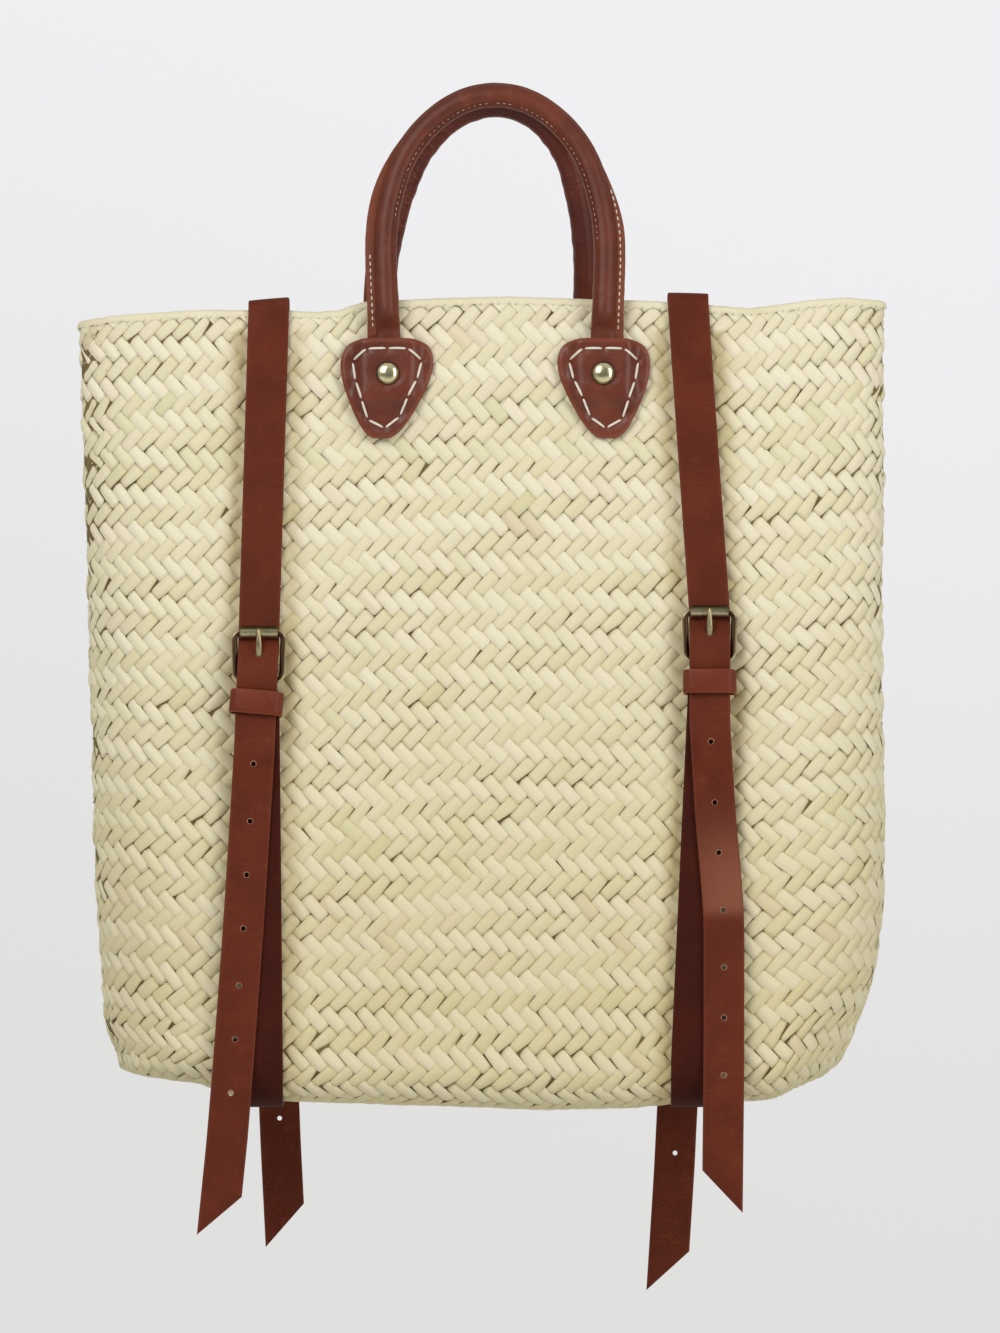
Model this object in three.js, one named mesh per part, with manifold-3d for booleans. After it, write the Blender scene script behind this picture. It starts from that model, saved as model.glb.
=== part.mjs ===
// Pack basket: a woven palm-leaf bag with two rolled leather handles and two buckled leather strap loops.
// Millimetres, +Z up, front towards -Y. The origin is where a hook or hand carries the handles.
import * as THREE from "three";
import { mergeVertices } from "three/addons/utils/BufferGeometryUtils.js";
import Module from "manifold-3d";

const wasm = await Module();
wasm.setup();

// Clearances shared by all pieces
const gap = 0.3;
const overrun = 2;

// Basket shell
const rimZ = -98;
const baseZ = -493.5;
const basketX = -1.3;
const rimHalfWidth = 201.5;
const baseHalfWidth = 195.5;
const rimHalfDepth = 18;
const baseHalfDepth = 62.5;
const wall = 5;
const baseEdgeRadius = 22;
const roundedEndLength = 68;
const baseEndLift = 12;
const rimWave = 6;
const flatFaceSteps = 9;
const roundedEndSteps = 12;
const wallSteps = 4;
const baseEdgeSteps = 5;
// Rim height across the width, as [share of the half width, share of the wave]
const rimWaveShares = [
  [-1, -1], [-0.9, -0.5], [-0.7, -0.1], [-0.48, -0.15], [-0.3, 0.2], [-0.1, 0.87], [0.06, 1],
  [0.27, 0.87], [0.42, 0.75], [0.56, 0.4], [0.66, 0.08], [0.82, 0.58], [1, 0.67],
];

// Leather straps and the roller buckles that join them
const strapWidth = 20.4;
const strapThickness = 2.2;
const barRadius = 1.2;
const rollerRadius = 2.9;
const rollerLength = 19.2;
const barSpacing = 24.5;
const frameWidth = 25.6;
const frameTopCorner = 3;
const frameHeelCorner = 4;
const frameSides = 6;
const cornerSteps = 3;
const mouthCornerRadius = 5;
const mouthCornerSteps = 4;
const shoulderLength = 9;
const foldBackLength = 33;
const foldSteps = 6;
const settleLength = 24;
const tailHingeDrop = 32;
const tailEndGap = 0.4;
const tailStandOff = 0.5;
const tailSteps = 6;
const tailUprightShare = 0.5;
const tipCut = 21;
const holeRadius = 1.9;
const holeSides = 8;
const holePitch = 27.5;
const holeCount = 7;
const lastHoleToTip = 68;
const prongSlotLength = 7;
const prongSlotWidth = 3.6;
const foldSlotWidth = 4.6;
const foldSlotLength = 8;
const foldWidth = 16.6;
// Strap route between the roller and the heel bar: [share of the bar spacing, share of the climb]
const climbShares = [[0.16, 0.1], [0.33, 0.37], [0.49, 0.64], [0.65, 0.84], [0.82, 0.96]];
// Strap routes below the heel bar: [share of the shoulder length, share of the drop left]
const underShoulderShares = [[0, 1], [0.33, 0.72], [0.67, 0.24], [1, 0]];
const overShoulderShares = [[0, 1], [0.33, 0.85], [0.67, 0.42], [1, 0.08], [1.3, 0]];
// Settling from the buckle stack down to the basket face: [share of the length, share of the drop left]
const settleShares = [[0, 1], [0.2, 0.86], [0.5, 0.5], [0.8, 0.14], [1, 0]];

// Prongs and keepers
const prongRingWidth = 2.8;
const prongRingRadius = 3.1;
const prongHalfWidth = 1.25;
const prongHalfHeight = 0.9;
const prongTipPast = 1.2;
const prongTaperShare = 0.5;
const keeperHeight = 12;
const keeperThickness = 1.6;
const keeperSideRoom = 1.5;
const keeperFrontRoom = 2;
const keeperCorner = 2;
const keeperDrop = 11.2;
// Prong route from the heel ring to its tip: [share of the bar spacing, share of the rise]
const prongRouteShares = [[0.1, 0], [0.34, 0.02], [0.5, 0.38], [0.66, 0.86], [0.84, 1], [1, 1]];

// Handles, their tongues and the tabs that hold them
const sleeveRadius = 6;
const sleeveWall = 1.7;
const coreRadius = 4;
const neckHalfWidth = 8;
const neckHalfThickness = 2;
const neckLength = 14;
const neckBoreHalfWidth = 5.6;
const neckBoreHalfThickness = 0.5;
const flangeDepth = 4;
const flangeThickness = 2.2;
const flangeLeast = 0.4;
const handleSteps = 22;
const sleeveSides = 10;
const coreSides = 6;
const rimStandOff = 0.7;
const hingeZ = -109;
const tabTopDrop = 3;
const tabWidth = 46.5;
const tabHeight = 50;
const tabThickness = 2.4;
const tabBumpHalfWidth = 11.5;
const tabBumpFall = 7;
const tongueLength = 29;
const rivetDrop = 17.8;
const rivetRadius = 5.9;
const rivetDome = 2.4;
const rivetRim = 0.7;
const rivetBore = 1.9;
const postRadius = 1.5;
const postFlangeRadius = 4.6;
const postFlange = 0.9;
const postEnd = 1.2;
const roundSides = 14;
// Handle centre line from the apex to a leg: [share of the half span, share of the drop]
const archShares = [
  [0, 0], [0.33, 0.03], [0.66, 0.145], [0.85, 0.27], [0.955, 0.415], [1.02, 0.57], [1.02, 0.76],
  [1.002, 0.92], [1, 1],
];
// Stations crowd towards the ends of a handle by this power, and its bore closes on a slit at the seam
const crowdingPower = 1.5;
const boreSlitShare = 0.125;
// How far down the leg the seam flange begins and is full, as shares of the route to the apex
const flangeStartShare = 0.62;
const flangeFullShare = 0.45;
// Right half of a tab's outline from the middle of its top: [share of the half width, share of the height]
const tabShares = [
  [0, 0], [0.26, 0], [0.5, 0.004], [0.8, 0.045], [0.965, 0.15], [1, 0.29], [0.93, 0.46],
  [0.76, 0.65], [0.52, 0.83], [0.3, 0.95], [0, 1],
];
const tabRingShares = [1, 0.84, 0.6, 0.3];
const tabCentreShare = 0.42;
const tabBumpReachShare = 1.5;
// Levels of a rivet's dome as shares of a quarter turn
const rivetDomeShares = [0.35, 0.65, 0.85];

// Where the left strap loop lies: its place on the mouth, at its buckles and under the base
const leftTopX = -108.8;
const leftBaseX = -111.5;
const leftRollerZ = -259.2;
const frontLeftX = -113.5;
const rearLeftX = -110.5;
const frontLeftTipZ = -560;
const rearLeftTipZ = -568;

// Where the right strap loop lies
const rightTopX = 101.2;
const rightBaseX = 102.5;
const rightRollerZ = -248.8;
const frontRightX = 111.8;
const rearRightX = 104.5;
const frontRightTipZ = -548;
const rearRightTipZ = -591;

// How far each tail's tip hangs to one side, and the way there: [share of the tail, share of the sway]
const frontLeftSway = -20.5;
const rearLeftSway = 9.5;
const frontRightSway = 7;
const rearRightSway = -13.5;
const evenShares = [[0.35, 0.28], [0.62, 0.54], [0.8, 0.73], [1, 1]];
const kinkedShares = [[0.2, 0.42], [0.38, 1], [0.7, 0.98], [1, 0.86]];

// The legs and tops of the two handles
const frontLeftLegX = -49.2;
const frontRightLegX = 58.7;
const rearLeftLegX = -52;
const rearRightLegX = 49.8;
const frontApexZ = 9.5;
const rearApexZ = 6;

const straps = [
  {
    name: "left", topX: leftTopX, baseX: leftBaseX,
    front: {
      x: frontLeftX, rollerZ: leftRollerZ, tipZ: frontLeftTipZ, longSide: -1, keeperTurn: -5,
      sway: frontLeftSway, swayShares: evenShares,
    },
    rear: {
      x: rearLeftX, rollerZ: leftRollerZ, tipZ: rearLeftTipZ, longSide: -1, keeperTurn: 2,
      sway: rearLeftSway, swayShares: evenShares,
    },
  },
  {
    name: "right", topX: rightTopX, baseX: rightBaseX,
    front: {
      x: frontRightX, rollerZ: rightRollerZ, tipZ: frontRightTipZ, longSide: 1, keeperTurn: 0,
      sway: frontRightSway, swayShares: kinkedShares,
    },
    rear: {
      x: rearRightX, rollerZ: rightRollerZ, tipZ: rearRightTipZ, longSide: -1, keeperTurn: -2,
      sway: rearRightSway, swayShares: evenShares,
    },
  },
];
const handles = [
  { name: "front", side: -1, legs: { left: frontLeftLegX, right: frontRightLegX }, apexZ: frontApexZ },
  { name: "rear", side: 1, legs: { left: rearLeftLegX, right: rearRightLegX }, apexZ: rearApexZ },
];

// Worked out from the sizes above
const tilt = Math.atan((baseHalfDepth - rimHalfDepth) / (rimZ - baseZ));
const onFace = gap + strapThickness / 2;
const layer = strapThickness + gap;
const barLevel = gap + strapThickness + gap + rollerRadius;
const foldRadius = barRadius + gap + strapThickness / 2;
const backLevel = gap + keeperThickness + gap + strapThickness / 2;
const mainLevel = backLevel + layer;
const tailLevel = mainLevel + layer;
const crownLevel = barLevel + foldRadius + layer;
const flatHalfLength = rimHalfWidth - roundedEndLength;

const leather = new THREE.MeshStandardMaterial({ color: 0x6e3a28, roughness: 0.5, metalness: 0 });
const palmLeaf = new THREE.MeshStandardMaterial({ color: 0xded6b2, roughness: 0.75, metalness: 0 });
const rope = new THREE.MeshStandardMaterial({ color: 0xc8b48c, roughness: 0.9, metalness: 0 });
const antiqueBrass = new THREE.MeshStandardMaterial({ color: 0x9c8c64, roughness: 0.35, metalness: 1 });
const brightBrass = new THREE.MeshStandardMaterial({ color: 0xc4a868, roughness: 0.25, metalness: 1 });

// Straight-line reading of a table of pairs
function along(table, at) {
  const last = table.length - 1;
  if (at <= table[0][0]) return table[0][1];
  if (at >= table[last][0]) return table[last][1];
  const i = table.findIndex((pair) => pair[0] >= at);
  const [x0, y0] = table[i - 1];
  const [x1, y1] = table[i];
  return y0 + ((y1 - y0) * (at - x0)) / (x1 - x0);
}

function ease(share) {
  const t = THREE.MathUtils.clamp(share, 0, 1);
  return t * t * (3 - 2 * t);
}

// A closed body through rings of equal count: capped at both ends, or joined last to first
function loft(rings, joined = false) {
  const count = rings[0].length;
  const faces = [];
  const steps = joined ? rings.length : rings.length - 1;
  for (let r = 0; r < steps; r++) {
    const a = r * count;
    const b = ((r + 1) % rings.length) * count;
    for (let i = 0; i < count; i++) {
      const j = (i + 1) % count;
      faces.push(a + i, a + j, b + j, a + i, b + j, b + i);
    }
  }
  if (!joined) {
    faces.push(...cap(0, count, true));
    faces.push(...cap((rings.length - 1) * count, count, false));
  }
  const points = rings.flat();
  let volume = 0;
  for (let f = 0; f < faces.length; f += 3) {
    const [p, q, s] = [points[faces[f]], points[faces[f + 1]], points[faces[f + 2]]];
    volume += p.dot(new THREE.Vector3().crossVectors(q, s));
  }
  if (volume < 0) faces.reverse();
  const geometry = new THREE.BufferGeometry().setFromPoints(points);
  geometry.setIndex(faces);
  return geometry;
}

// Closes a ring by a ladder between its two halves
function cap(start, count, flip) {
  const faces = [];
  for (let i = 0; i < count / 2; i++) {
    const [a, b, c, d] = [i, i + 1, (count - i - 1) % count, (count - i) % count].map((k) => start + k);
    const quad = [];
    if (b !== c && a !== b) quad.push([a, b, c]);
    if (a !== d && c !== d && a !== c) quad.push([a, c, d]);
    for (const [p, q, s] of quad) faces.push(...(flip ? [p, s, q] : [p, q, s]));
  }
  return faces;
}

function solid(geometry) {
  const plain = geometry.clone();
  plain.deleteAttribute("normal");
  plain.deleteAttribute("uv");
  const merged = mergeVertices(plain);
  return new wasm.Manifold(new wasm.Mesh({
    numProp: 3,
    vertProperties: Float32Array.from(merged.attributes.position.array),
    triVerts: Uint32Array.from(merged.index.array),
  }));
}

function geometryOf(body) {
  const mesh = body.getMesh();
  const geometry = new THREE.BufferGeometry();
  geometry.setAttribute("position", new THREE.BufferAttribute(mesh.vertProperties, mesh.numProp));
  geometry.setIndex(new THREE.BufferAttribute(mesh.triVerts, 1));
  return geometry;
}

function cut(geometry, cutters) {
  const body = cutters.reduce((rest, cutter) => rest.subtract(solid(cutter)), solid(geometry));
  return geometryOf(body);
}

function join(first, second) {
  return geometryOf(solid(first).add(solid(second)));
}

function named(name, geometry, material) {
  const mesh = new THREE.Mesh(geometry, material);
  mesh.name = name;
  return mesh;
}

// The front and rear faces are flat and lean outwards downwards: a point from its drop and stand-off
function facePoint(side, x, drop, out) {
  const y = side * (rimHalfDepth + drop * Math.sin(tilt) + out * Math.cos(tilt));
  const z = rimZ - drop * Math.cos(tilt) + out * Math.sin(tilt);
  return new THREE.Vector3(x, y, z);
}

// The same as a frame: x across, y up the face, z out of it
function faceGroup(side) {
  const group = new THREE.Group();
  const leaning = new THREE.Group();
  leaning.rotation.x = Math.PI / 2 - tilt;
  leaning.position.set(0, -rimHalfDepth, rimZ);
  if (side > 0) group.rotation.z = Math.PI;
  group.add(leaning);
  return { group, add: (object) => leaning.add(object), x: (x) => -side * x };
}

function dropOf(z) {
  return (rimZ - z) / Math.cos(tilt);
}

// Basket shell
function rimHeight(x) {
  return rimZ + rimWave * along(rimWaveShares, (x - basketX) / rimHalfWidth);
}

function baseHeight(x, inside) {
  const past = (Math.abs(x - basketX) - flatHalfLength) / roundedEndLength;
  return baseZ + baseEndLift * ease(past) + (inside ? wall : 0);
}

// One level of the shell: its outline drawn in by an inset, at a height given for each x
function basketRing(halfWidth, halfDepth, heightAt) {
  const ring = [];
  const endLength = halfWidth - flatHalfLength;
  const arc = (from, side) => {
    for (let i = 0; i < roundedEndSteps / 2; i++) {
      const angle = from + (Math.PI * i) / roundedEndSteps;
      ring.push([side * flatHalfLength + endLength * Math.cos(angle), halfDepth * Math.sin(angle)]);
    }
  };
  const face = (side) => {
    for (let i = 0; i < flatFaceSteps; i++) {
      ring.push([side * flatHalfLength * (1 - (2 * i) / flatFaceSteps), side * halfDepth]);
    }
  };
  arc(Math.PI, -1);
  face(-1);
  arc(-Math.PI / 2, 1);
  arc(0, 1);
  face(1);
  arc(Math.PI / 2, -1);
  return ring.map(([x, y]) => new THREE.Vector3(basketX + x, y, heightAt(basketX + x)));
}

function basketShell() {
  const depthAt = (z) => rimHalfDepth + (rimZ - z) * Math.tan(tilt);
  const widthAt = (z) => THREE.MathUtils.mapLinear(z, rimZ, baseZ, rimHalfWidth, baseHalfWidth);
  const skin = (inside) => {
    const inset = inside ? wall : 0;
    const depthInset = inside ? wall / Math.cos(tilt) : 0;
    const radius = baseEdgeRadius - inset;
    const edgeZ = baseZ + inset + radius;
    const rings = [];
    for (let i = 0; i <= wallSteps; i++) {
      const share = i / wallSteps;
      const z = THREE.MathUtils.lerp(rimZ, edgeZ, share);
      const heightAt = (x) => THREE.MathUtils.lerp(rimHeight(x), baseHeight(x, inside) + radius, share);
      const depth = depthAt(z) - depthInset;
      rings.push(faceRing(widthAt(z) - inset, depth, heightAt, depthAt, depthInset));
    }
    for (let i = 1; i <= baseEdgeSteps; i++) {
      const angle = (Math.PI / 2) * (i / baseEdgeSteps);
      const drawnIn = radius * (1 - Math.cos(angle));
      const rise = radius * (1 - Math.sin(angle));
      const z = baseZ + inset + rise;
      const heightAt = (x) => baseHeight(x, inside) + rise;
      rings.push(basketRing(widthAt(z) - inset - drawnIn, depthAt(z) - depthInset - drawnIn, heightAt));
    }
    return rings;
  };
  return loft([...skin(false).reverse(), ...skin(true)]);
}

// A wall level follows the leaning face at each point's own height
function faceRing(halfWidth, halfDepth, heightAt, depthAt, depthInset) {
  return basketRing(halfWidth, halfDepth, heightAt).map((p) => {
    const own = depthAt(p.z) - depthInset;
    return new THREE.Vector3(p.x, (p.y * own) / halfDepth, p.z);
  });
}

// A flat strap through stations in world places: its width runs along x, and a station may hold its own.
// An end cut draws one edge back, evenly over the last stations, and its sign says which edge.
function strip(stations, width, thickness, endCut = 0, cutStations = 1) {
  const rings = stations.map((p, i) => {
    const before = stations[Math.max(i - 1, 0)];
    const after = stations[Math.min(i + 1, stations.length - 1)];
    const inDirection = new THREE.Vector2(p.y - before.y, p.z - before.z).normalize();
    const outDirection = new THREE.Vector2(after.y - p.y, after.z - p.z).normalize();
    if (i === 0) inDirection.copy(outDirection);
    if (i === stations.length - 1) outDirection.copy(inDirection);
    const tangent = inDirection.clone().add(outDirection).normalize();
    const half = thickness / 2 / tangent.dot(inDirection);
    const normal = new THREE.Vector2(-tangent.y, tangent.x).multiplyScalar(half);
    const back = endCut * Math.max(0, 1 - (stations.length - 1 - i) / cutStations);
    const corner = (across, out) => new THREE.Vector3(
      p.x + (across * (p.width ?? width)) / 2,
      p.y + out * normal.x - (across * back > 0 ? Math.abs(back) * tangent.x : 0),
      p.z + out * normal.y - (across * back > 0 ? Math.abs(back) * tangent.y : 0),
    );
    return [corner(-1, -1), corner(1, -1), corner(1, 1), corner(-1, 1)];
  });
  return loft(rings);
}

function heelDrop(end) {
  return dropOf(end.rollerZ) + barSpacing;
}

// The part of an upper strap on one face, from its hinge line up to the rim
function buckledRun(side, end, topX) {
  const heel = heelDrop(end);
  const roller = heel - barSpacing;
  const route = [[heel + tailHingeDrop - tailEndGap / 2, tailLevel]];
  for (const [share, left] of overShoulderShares.toReversed()) {
    route.push([heel + share * shoulderLength, tailLevel + left * (crownLevel - tailLevel)]);
  }
  for (const [share, climb] of climbShares.toReversed()) {
    route.push([roller + share * barSpacing, onFace + climb * (crownLevel - onFace)]);
  }
  route.push([roller, onFace], [roller / 2, onFace]);
  return route.map(([drop, out]) => {
    const x = THREE.MathUtils.lerp(topX, end.x, Math.min(drop / roller, 1));
    return facePoint(side, x, drop, out);
  });
}

function overStrap(strap) {
  const front = buckledRun(-1, strap.front, strap.topX);
  const rear = buckledRun(1, strap.rear, strap.topX);
  const rim = rimHeight(strap.topX);
  const over = [];
  for (const side of [-1, 1]) {
    const edge = facePoint(side, strap.topX, dropOf(rim), onFace);
    const corner = [];
    for (let i = 0; i <= mouthCornerSteps; i++) {
      const angle = (Math.PI / 2) * (i / mouthCornerSteps);
      const y = edge.y - side * mouthCornerRadius * (1 - Math.cos(angle));
      corner.push(new THREE.Vector3(strap.topX, y, edge.z + mouthCornerRadius * Math.sin(angle)));
    }
    over.push(...(side < 0 ? corner : corner.reverse()));
  }
  const geometry = strip([...front, ...over, ...rear.reverse()], strapWidth, strapThickness);
  const slots = [[-1, strap.front], [1, strap.rear]].map(([side, end]) => {
    const middle = heelDrop(end) - barSpacing * (1 - prongRouteShares[2][0]);
    const slot = new THREE.BoxGeometry(prongSlotWidth, prongSlotLength, 2 * crownLevel);
    slot.rotateX(Math.PI / 2 - tilt);
    if (side > 0) slot.rotateZ(Math.PI);
    const at = facePoint(side, end.x, middle, crownLevel);
    return slot.translate(at.x, at.y, at.z);
  });
  return cut(geometry, slots);
}

// The drop at which the flat face ends and the base edge begins
function faceEnd() {
  return dropOf(baseZ + baseEdgeRadius);
}

// Half of a base strap: its fold round the heel bar, the run down the face and round to the base's middle
function baseRun(side, end, baseX) {
  const heel = heelDrop(end);
  const route = [[heel + foldBackLength, backLevel, foldWidth], [heel + shoulderLength, backLevel, foldWidth]];
  for (let i = 0; i <= foldSteps; i++) {
    const angle = (Math.PI * i) / foldSteps;
    route.push([heel - foldRadius * Math.sin(angle), barLevel - foldRadius * Math.cos(angle), foldWidth]);
  }
  for (const [share, left] of underShoulderShares.slice(1)) {
    const width = THREE.MathUtils.lerp(foldWidth, strapWidth, share);
    route.push([heel + share * shoulderLength, mainLevel + left * (barLevel + foldRadius - mainLevel), width]);
  }
  for (const [share, left] of settleShares) {
    const drop = heel + foldBackLength + layer + share * settleLength;
    route.push([drop, onFace + left * (mainLevel - onFace), strapWidth]);
  }
  const stations = route.map(([drop, out, width]) => {
    const x = THREE.MathUtils.lerp(end.x, baseX, THREE.MathUtils.clamp((drop - heel) / (faceEnd() - heel), 0, 1));
    return Object.assign(facePoint(side, x, drop, out), { width });
  });
  const edge = [];
  for (let i = 0; i <= baseEdgeSteps; i++) {
    const angle = (Math.PI / 2) * (i / baseEdgeSteps);
    const z = baseZ + baseEdgeRadius * (1 - Math.sin(angle));
    const y = rimHalfDepth + (rimZ - z) * Math.tan(tilt) - baseEdgeRadius * (1 - Math.cos(angle));
    edge.push(new THREE.Vector2(side * y, z));
  }
  edge.push(new THREE.Vector2(0, baseZ));
  for (let i = 0; i < edge.length - 1; i++) {
    const before = i === 0 ? new THREE.Vector2(side * rimHalfDepth, rimZ) : edge[i - 1];
    const inDirection = edge[i].clone().sub(before).normalize();
    const tangent = edge[i + 1].clone().sub(edge[i]).normalize().add(inDirection).normalize();
    const reach = onFace / tangent.dot(inDirection);
    const normal = new THREE.Vector2(-tangent.y, tangent.x).multiplyScalar(side * reach);
    stations.push(new THREE.Vector3(baseX, edge[i].x + normal.x, edge[i].y + normal.y));
  }
  return stations;
}

function baseStrap(strap) {
  const front = baseRun(-1, strap.front, strap.baseX);
  const rear = baseRun(1, strap.rear, strap.baseX);
  const geometry = strip([...front, ...rear.reverse()], strapWidth, strapThickness);
  const slots = [[-1, strap.front], [1, strap.rear]].map(([side, end]) => {
    const slot = new THREE.BoxGeometry(foldSlotWidth, foldSlotLength + 2 * foldRadius, 2 * crownLevel);
    slot.rotateX(Math.PI / 2 - tilt);
    if (side > 0) slot.rotateZ(Math.PI);
    const at = facePoint(side, end.x, heelDrop(end) + foldSlotLength / 2 - 2 * foldRadius, crownLevel);
    return slot.translate(at.x, at.y, at.z);
  });
  return cut(geometry, slots);
}

// The loose end below the keeper: it follows the base strap down, then hangs straight past the base
function strapTail(side, end) {
  const heel = heelDrop(end);
  const start = heel + tailHingeDrop + tailEndGap / 2;
  const leave = faceEnd();
  const startZ = facePoint(side, end.x, start, tailLevel).z;
  const sway = (z) => end.sway * along([[0, 0], ...end.swayShares], (startZ - z) / (startZ - end.tipZ));
  const stations = [[start, tailLevel]];
  for (const [share, left] of settleShares) {
    const drop = heel + foldBackLength + layer + share * settleLength;
    stations.push([drop, onFace + layer + tailStandOff + left * (tailLevel - onFace - layer)]);
  }
  for (let i = 1; i <= tailSteps; i++) {
    const share = i / tailSteps;
    stations.push([
      THREE.MathUtils.lerp(heel + foldBackLength + layer + settleLength, leave, share),
      onFace + layer + tailStandOff,
    ]);
  }
  const points = stations.map(([drop, out]) => facePoint(side, end.x, drop, out));
  const last = points[points.length - 1];
  for (let i = 1; i <= tailSteps; i++) {
    const share = i / tailSteps;
    const z = THREE.MathUtils.lerp(last.z, end.tipZ, share);
    const lean = (last.z - z) * Math.tan(tilt) * (1 - share * tailUprightShare);
    points.push(new THREE.Vector3(end.x, last.y + side * lean, z));
  }
  for (const p of points) p.x += sway(p.z);
  const geometry = strip(points, strapWidth, strapThickness, -end.longSide * tipCut, tailSteps);
  const holes = [];
  for (let i = 0; i < holeCount; i++) {
    const z = end.tipZ + lastHoleToTip + i * holePitch;
    const y = along(points.map((p) => [-p.z, p.y]), -z);
    const hole = new THREE.CylinderGeometry(holeRadius, holeRadius, 2 * crownLevel, holeSides);
    if (z < startZ - holeRadius - gap) holes.push(hole.translate(end.x + sway(z), y, z));
  }
  return cut(geometry, holes);
}

// Buckle pieces, in a face frame whose origin is the heel bar's foot on the face
function wireRing(x, y, radius, outward) {
  const ring = [];
  for (let i = 0; i < frameSides; i++) {
    const angle = (2 * Math.PI * i) / frameSides;
    const out = radius * Math.cos(angle);
    ring.push(new THREE.Vector3(x + outward.x * out, y + outward.y * out, barLevel + radius * Math.sin(angle)));
  }
  return ring;
}

function buckleFrame() {
  const rings = [];
  const corners = [
    [1, 1, frameTopCorner], [-1, 1, frameTopCorner], [-1, -1, frameHeelCorner], [1, -1, frameHeelCorner],
  ];
  corners.forEach(([sx, sy, radius], k) => {
    const cx = sx * (frameWidth / 2 - radius);
    const cy = barSpacing / 2 + sy * (barSpacing / 2 - radius);
    for (let i = 0; i <= cornerSteps; i++) {
      const angle = (Math.PI / 2) * (k + i / cornerSteps);
      const outward = new THREE.Vector2(Math.cos(angle), Math.sin(angle));
      rings.push(wireRing(cx + radius * outward.x, cy + radius * outward.y, barRadius, outward));
    }
  });
  return loft(rings, true);
}

// A ring of rectangular section round an axis along x
function band(inner, outer, length, sides) {
  const profile = [
    new THREE.Vector2(inner, -length / 2), new THREE.Vector2(outer, -length / 2),
    new THREE.Vector2(outer, length / 2), new THREE.Vector2(inner, length / 2),
    new THREE.Vector2(inner, -length / 2),
  ];
  return new THREE.LatheGeometry(profile, sides).rotateZ(Math.PI / 2);
}

function roller() {
  return band(barRadius + gap, rollerRadius, rollerLength, roundSides).translate(0, barSpacing, barLevel);
}

function prong() {
  const top = barLevel + rollerRadius + gap + prongHalfHeight;
  const low = barLevel + prongHalfHeight / 2;
  const route = prongRouteShares.map(([share, rise]) => [share * barSpacing, low + rise * (top - low)]);
  route.push([barSpacing + prongTipPast, top]);
  const rings = route.map(([y, out], i) => {
    const share = i / (route.length - 1);
    const thin = 1 - share * share * prongTaperShare;
    return [[-1, -1], [1, -1], [1, 1], [-1, 1]].map(([sx, so]) => new THREE.Vector3(
      sx * prongHalfWidth * thin, y, out + so * prongHalfHeight * (so > 0 ? thin : 1),
    ));
  });
  const ring = band(barRadius + gap, prongRingRadius, prongRingWidth, roundSides);
  return join(ring.translate(0, 0, barLevel), loft(rings));
}

function keeper() {
  const back = gap;
  const front = tailLevel + strapThickness / 2 + keeperFrontRoom + keeperThickness;
  const halfWidth = strapWidth / 2 + keeperSideRoom + keeperThickness;
  const loop = (inset, corner) => {
    const shape = [];
    const [w, low, high] = [halfWidth - inset, back + inset, front - inset];
    const corners = [[1, 1], [-1, 1], [-1, -1], [1, -1]];
    corners.forEach(([sx, so], k) => {
      for (let i = 0; i <= cornerSteps; i++) {
        const angle = (Math.PI / 2) * (k + i / cornerSteps);
        const cx = sx * (w - corner);
        const co = so > 0 ? high - corner : low + corner;
        shape.push([cx + corner * Math.cos(angle), co + corner * Math.sin(angle)]);
      }
    });
    return shape;
  };
  const outer = loop(0, keeperCorner);
  const inner = loop(keeperThickness, keeperCorner / 2);
  const at = (shape, y) => shape.map(([x, o]) => new THREE.Vector3(x, y, o));
  const [low, high] = [-keeperHeight / 2, keeperHeight / 2];
  return loft([at(outer, low), at(outer, high), at(inner, high), at(inner, low)], true);
}

function addBuckle(object, strap, side) {
  const end = side < 0 ? strap.front : strap.rear;
  const name = `${side < 0 ? "front" : "rear"}_${strap.name}`;
  const face = faceGroup(side);
  const at = new THREE.Group();
  at.position.set(face.x(end.x), -heelDrop(end), 0);
  at.add(named(`${name}_buckle_frame`, buckleFrame(), antiqueBrass));
  at.add(named(`${name}_buckle_roller`, roller(), antiqueBrass));
  at.add(named(`${name}_buckle_prong`, prong(), antiqueBrass));
  const loop = named(`${name}_keeper`, keeper(), leather);
  loop.position.y = -keeperDrop;
  loop.rotation.z = THREE.MathUtils.degToRad(end.keeperTurn);
  at.add(loop);
  face.add(at);
  object.add(face.group);
}

// Handles: the centre line of one handle and the half sizes of its section along it
function handleLine(handle) {
  const { left, right } = handle.legs;
  const middle = (left + right) / 2;
  const half = (right - left) / 2;
  const place = (sign, [across, drop]) => {
    const z = THREE.MathUtils.lerp(handle.apexZ, hingeZ, drop);
    return new THREE.Vector3(middle + sign * half * across, 0, z);
  };
  const leftPoints = archShares.map((pair) => place(-1, pair)).reverse();
  const rightPoints = archShares.slice(1).map((pair) => place(1, pair));
  return new THREE.CatmullRomCurve3([...leftPoints, ...rightPoints]);
}

// Half thickness of the sleeve above the hinge line, and how far its middle stands off the face
function sleeveSection(above) {
  const round = ease(above / neckLength);
  return {
    thick: THREE.MathUtils.lerp(neckHalfThickness, sleeveRadius, round),
    wide: THREE.MathUtils.lerp(neckHalfWidth, sleeveRadius, round),
    boreThick: THREE.MathUtils.lerp(neckBoreHalfThickness, sleeveRadius - sleeveWall, round),
    boreWide: THREE.MathUtils.lerp(neckBoreHalfWidth, sleeveRadius - sleeveWall, round),
  };
}

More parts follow.
